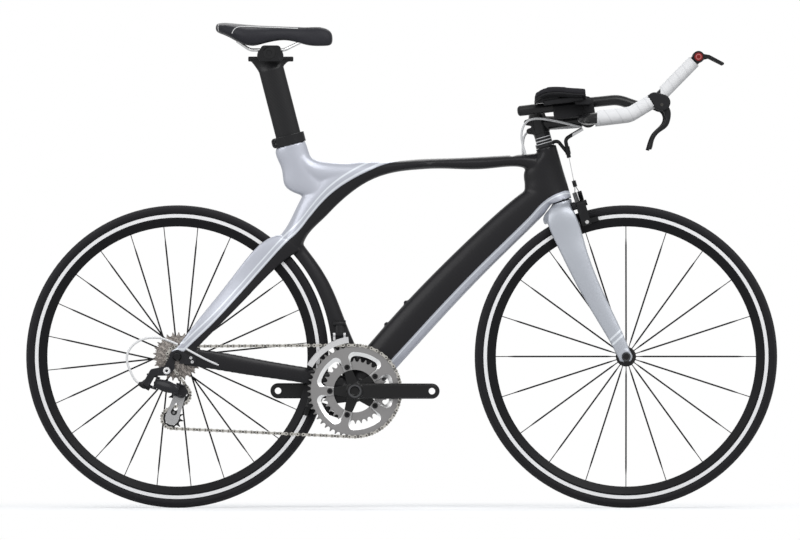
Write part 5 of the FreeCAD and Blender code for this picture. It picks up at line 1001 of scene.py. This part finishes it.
def link_plate(face, finish):
    """Plate from pin to pin along X, drawn in at its waist."""
    half = CHAIN_PITCH / 2
    plate = added("link_plate", bpy.ops.mesh.primitive_circle_add, vertices=16, radius=LINK_END,
                  fill_type="NGON", location=(-half, face, 0), rotation=(math.pi / 2, math.pi / 16, 0))
    bpy.ops.object.mode_set(mode="EDIT")
    bpy.ops.mesh.select_mode(type="VERT")
    choose(plate, lambda spot: spot.x > -half)
    bpy.ops.transform.translate(value=(CHAIN_PITCH, 0, 0))
    choose(plate, lambda spot: abs(spot.z) > 0.9 * LINK_END)
    bpy.ops.mesh.subdivide(number_cuts=3)
    for reach, draw in ((0.9, 0.78), (0.1, 0.8)):
        choose(plate, lambda spot: abs(spot.x) < reach * half)
        bpy.ops.transform.resize(value=(1, 1, draw), center_override=(0, face, 0))
    bpy.ops.mesh.select_all(action="SELECT")
    bpy.ops.mesh.extrude_region_move(TRANSFORM_OT_translate={"value": (0, PLATE_WALL, 0)})
    close_outwards()
    return chain_wear(plate, finish)


def chain_link(face, finish, reach, radius):
    """Two plates with the two pins, or rollers, that join them."""
    pieces = [link_plate(face, finish), link_plate(-face - PLATE_WALL, finish)]
    for along in (-CHAIN_PITCH / 2, CHAIN_PITCH / 2):
        steps = ((0.0, radius), (2 * reach, radius))
        rod = turned("link_rod", Vector((along, -reach, 0)), Vector((0, 1, 0)), steps, PIN_STEEL, 12)
        pieces.append(chain_wear(rod, PIN_STEEL))
    return joined(pieces)


def islands(mesh):
    """Groups of joined points, in the mesh's own order."""
    for first in mesh.verts:
        if first.tag:
            continue
        first.tag = True
        group = [first]
        for vertex in group:
            for edge in vertex.link_edges:
                other = edge.other_vert(vertex)
                if not other.tag:
                    other.tag = True
                    group.append(other)
        yield [vertex.co.copy() for vertex in group]


def link_frame(points):
    """Place of one link: a matrix from a link drawn along X, and its half width."""
    middle = sum(points, Vector()) / len(points)
    ways = [point - middle for point in points]
    xx = sum(way.x * way.x for way in ways)
    zz = sum(way.z * way.z for way in ways)
    xz = sum(way.x * way.z for way in ways)
    angle = 0.5 * math.atan2(2 * xz, xx - zz)
    flat = Vector((math.cos(angle), 0, math.sin(angle)))
    slope = sum(way.y * way.dot(flat) for way in ways) / sum(way.dot(flat) ** 2 for way in ways)
    along = (flat + Vector((0, slope, 0))).normalized()
    up = along.cross(Vector((0, 1, 0))).normalized()
    across = up.cross(along)
    matrix = Matrix((along, across, up)).transposed().to_4x4()
    matrix.translation = middle
    return matrix, max(abs(way.dot(across)) for way in ways)


def redraw(piece, draw):
    """Draws each loose part of a mesh afresh, on the points of the old one."""
    read = bmesh.new()
    read.from_mesh(piece.data)
    whole = bmesh.new()
    for points in islands(read):
        draw(whole, points)
    whole.to_mesh(piece.data)
    read.free()
    whole.free()
    crease(piece)


def make_chain():
    """Outer and inner links of plates and rods, one on each link of the solid."""
    outer = chain_link(OUTER_FACE, NICKEL, PIN_END, PIN_RADIUS)
    inner = chain_link(INNER_FACE, INNER_PLATE, INNER_FACE, ROLLER_RADIUS)

    def draw_link(whole, points):
        matrix, half = link_frame(points)
        kind = outer if half > (INNER_FACE + OUTER_FACE) / 2 + PLATE_WALL else inner
        start = len(whole.verts)
        whole.from_mesh(kind.data)
        whole.verts.ensure_lookup_table()
        bmesh.ops.transform(whole, matrix=matrix, verts=whole.verts[start:])

    chain = chain_wear(copied("chain_links", "chain"), NICKEL)
    redraw(chain, draw_link)
    for piece in (outer, inner):
        bpy.data.objects.remove(piece)
    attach(chain, "frame")
    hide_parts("chain")


make_chain()


# Spokes, drawn as blades on the solid's round ones: share of the way, half width and half thickness.
BLADE_STEPS = ((0.0, 0.0011, 0.0011), (0.04, 0.0011, 0.0011), (0.08, 0.0018, 0.0007), (0.84, 0.0018, 0.0007),
               (0.9, 0.0010, 0.0010), (1.0, 0.0010, 0.0010))
BLADE_SIDES = 12
SPOKE_TIP = 0.003


def spoke_ends(points, axle):
    """Middles of a spoke's two ends, the one at the hub first."""
    middle = sum(points, Vector()) / len(points)
    way = (max(points, key=lambda point: (point - middle).length) - middle).normalized()
    places = [(point - middle).dot(way) for point in points]
    reach = max(places) - SPOKE_TIP
    ends = []
    for sign in (-1, 1):
        near = [point for point, share in zip(points, places) if sign * share > reach]
        ends.append(sum(near, Vector()) / len(near))
    return sorted(ends, key=lambda end: (end - axle).length)


def draw_blade(whole, hub_end, rim_end):
    """Flat blade between round ends."""
    flat = (rim_end - hub_end).cross(Vector((0, 1, 0))).normalized()
    side = flat.cross(rim_end - hub_end).normalized()
    turns = [2 * math.pi * step / BLADE_SIDES for step in range(BLADE_SIDES)]
    rings = []
    for share, wide, thick in BLADE_STEPS:
        centre = hub_end.lerp(rim_end, share)
        spots = [centre + flat * (wide * math.cos(turn)) + side * (thick * math.sin(turn)) for turn in turns]
        rings.append([whole.verts.new(spot) for spot in spots])
    faces = [whole.faces.new((low[step - 1], low[step], high[step], high[step - 1]))
             for low, high in zip(rings, rings[1:]) for step in range(BLADE_SIDES)]
    faces += [whole.faces.new(rings[0]), whole.faces.new(rings[-1])]
    bmesh.ops.recalc_face_normals(whole, faces=faces)


def make_spokes(name, solid, axle, body):
    spokes = copied(name, solid)
    redraw(spokes, lambda whole, points: draw_blade(whole, *spoke_ends(points, axle)))
    dress(spokes, body, solid)


make_spokes("front_blades", "front_spokes", FRONT_AXLE, "front_wheel")
make_spokes("rear_blades", "rear_spokes", REAR_AXLE, "rear_wheel")


# Soft pieces.

COVER_VOXEL = 0.004
COVER_PRESSURE = 3.0


def swell(piece, cap, steps=20):
    """Lets a cover fill out under a little pressure, each point held to a short way."""
    before = [vertex.co.copy() for vertex in piece.data.vertices]
    pick_only(piece)
    modifier = piece.modifiers.new("cover", "CLOTH")
    set_all(modifier.settings, use_pressure=True, uniform_pressure_force=COVER_PRESSURE, quality=6,
            tension_stiffness=40, compression_stiffness=40, bending_stiffness=8)
    modifier.settings.effector_weights.gravity = 0.0
    set_all(modifier.point_cache, frame_start=1, frame_end=steps)
    for step in range(1, steps + 1):
        SCENE.frame_set(step)
    bpy.ops.object.modifier_apply(modifier=modifier.name)
    for vertex, old in zip(piece.data.vertices, before):
        move = vertex.co - old
        if move.length > cap:
            vertex.co = old + move.normalized() * cap
    SCENE.frame_set(1)


def soft_cover(name, solid, rounds, cap, body):
    """Cover on the form of a solid: remeshed, filled out and smoothed."""
    cover = copied(name, solid)
    apply_modifier(cover, "REMESH", mode="VOXEL", voxel_size=COVER_VOXEL)
    apply_modifier(cover, "SMOOTH", factor=0.5, iterations=rounds)
    swell(cover, cap)
    apply_modifier(cover, "SMOOTH", factor=0.4, iterations=2)
    apply_modifier(cover, "SUBSURF", levels=1, render_levels=1)
    bpy.ops.object.shade_smooth()
    dress(cover, body, solid)
    return cover


SADDLE = soft_cover("saddle_cover", "saddle", 5, 0.0012, "seat")
soft_cover("arm_pad_covers", "arm_pads", 3, 0.001, "steering")


# Piping sewn on the saddle's shoulders: places along it and depths below its top.
PIPING_ROUTE = ((-0.374, 0.023), (-0.3715, 0.016), (-0.366, 0.010), (-0.356, 0.0062), (-0.337, 0.0042),
                (-0.306, 0.0034), (-0.274, 0.0032), (-0.25, 0.0032), (-0.229, 0.0034))
TAIL_ROUTE = ((-0.4035, 0.0035), (-0.4046, 0.0075), (-0.4046, 0.0125), (-0.4035, 0.0175))
PIPING_RADIUS = 0.0011


def cover_side(cover, along, drop, side):
    """Point on a cover's flank, a set depth below its top at a place along it."""
    top = cover.ray_cast(Vector((along, 0, 2)), Vector((0, 0, -1)))[1]
    return cover.ray_cast(Vector((along, side, top.z - drop)), Vector((0, -side, 0)))[1]


bpy.context.view_layer.update()
for name, route in (("piping", PIPING_ROUTE), ("tail_piping", TAIL_ROUTE)):
    for tag, side in SIDES:
        points = [cover_side(SADDLE, along, drop, side) for along, drop in route]
        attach(cable_mesh(f"{name}_{tag}", points, PIPING_RADIUS, PIPING)[0], "seat")


# Room, light and camera.

FLOOR_SIDE = 60.0
POOL_LENGTH = 1.9
POOL_WIDTH = 1.3
POOL_START = 0.35
FLOOR_BOUNCE = (0.42, 0.42, 0.42)
CAMERA_REACH = 45.0
VIEW_WIDTH = 1.766
VIEW_MIDDLE = (-0.0037, 0.525)
LIGHT_AIM = Vector((0, 0, 0.5))
LIGHT_SIZE = 3.0
LIGHTS = (
    ("key_soft", (1.6, -3.4, 3.6), 118.0),
    ("fill_soft", (-3.0, -3.0, 2.2), 58.0),
    ("back_soft", (0.0, 3.2, 3.2), 52.0),
)


def background_rays(tree):
    """One for the rays that see the background: straight, mirrored or through something clear."""
    rays = place(tree, "ShaderNodeLightPath")
    return Value(rays, "Is Camera Ray") | Value(rays, "Is Glossy Ray") | Value(rays, "Is Transmission Ray")


def floor_finish():
    """Pale floor that takes the shadow near the bike and runs out to plain white."""
    material, tree = start_material("floor_white", 0.0, 0.9)
    shader = tree.nodes["Principled BSDF"]
    shade = grain(tree, 3.0, 0.97, 0.5)[0]
    pale = shade.mix((0.93, 0.93, 0.93), (0.95, 0.95, 0.95))
    seen = background_rays(tree)
    feed(shader, "Base Color", seen.mix(FLOOR_BOUNCE, pale))
    x, y, z = bike_place(tree)
    along = x * (POOL_WIDTH / POOL_LENGTH)
    far = (along * along + y * y).math("SQRT").span(POOL_START * POOL_WIDTH, POOL_WIDTH)
    white = Value(place(tree, "ShaderNodeEmission"))
    choice = place(tree, "ShaderNodeMixShader", {0: far * seen, 1: Value(shader), 2: white})
    feed(tree.nodes["Material Output"], 0, Value(choice))
    return material


def make_room():
    floor = added("studio_floor", bpy.ops.mesh.primitive_plane_add, size=FLOOR_SIDE)
    wear(floor, floor_finish())


def make_light():
    """White backdrop, a softer sky for the light that it gives, and three soft lamps."""
    world = bpy.data.worlds.new("studio")
    world.use_nodes = True
    tree = world.node_tree
    tree.nodes.clear()
    backdrop = Value(place(tree, "ShaderNodeBackground", {"Color": (1, 1, 1)}))
    sky = Value(place(tree, "ShaderNodeBackground", {"Color": (0.93, 0.96, 1), "Strength": 0.56}))
    choice = place(tree, "ShaderNodeMixShader", {0: background_rays(tree), 1: sky, 2: backdrop})
    place(tree, "ShaderNodeOutputWorld", {0: Value(choice)})
    SCENE.world = world
    for name, spot, power in LIGHTS:
        lamp = bpy.data.lights.new(name, "AREA")
        set_all(lamp, shape="DISK", size=LIGHT_SIZE, energy=power)
        piece = linked(name, lamp)
        piece.location = spot
        piece.rotation_euler = (LIGHT_AIM - Vector(spot)).to_track_quat("-Z", "Y").to_euler()


def make_camera():
    data = bpy.data.cameras.new("photo_view")
    set_all(data, sensor_fit="HORIZONTAL", sensor_width=36.0, clip_end=200.0)
    data.lens = data.sensor_width * CAMERA_REACH / VIEW_WIDTH
    camera = linked("photo_view", data)
    camera.location = (VIEW_MIDDLE[0], -CAMERA_REACH, VIEW_MIDDLE[1])
    camera.rotation_euler = (math.pi / 2, 0, 0)
    SCENE.camera = camera


make_room()
make_light()
make_camera()
SCENE.view_settings.view_transform = "Standard"
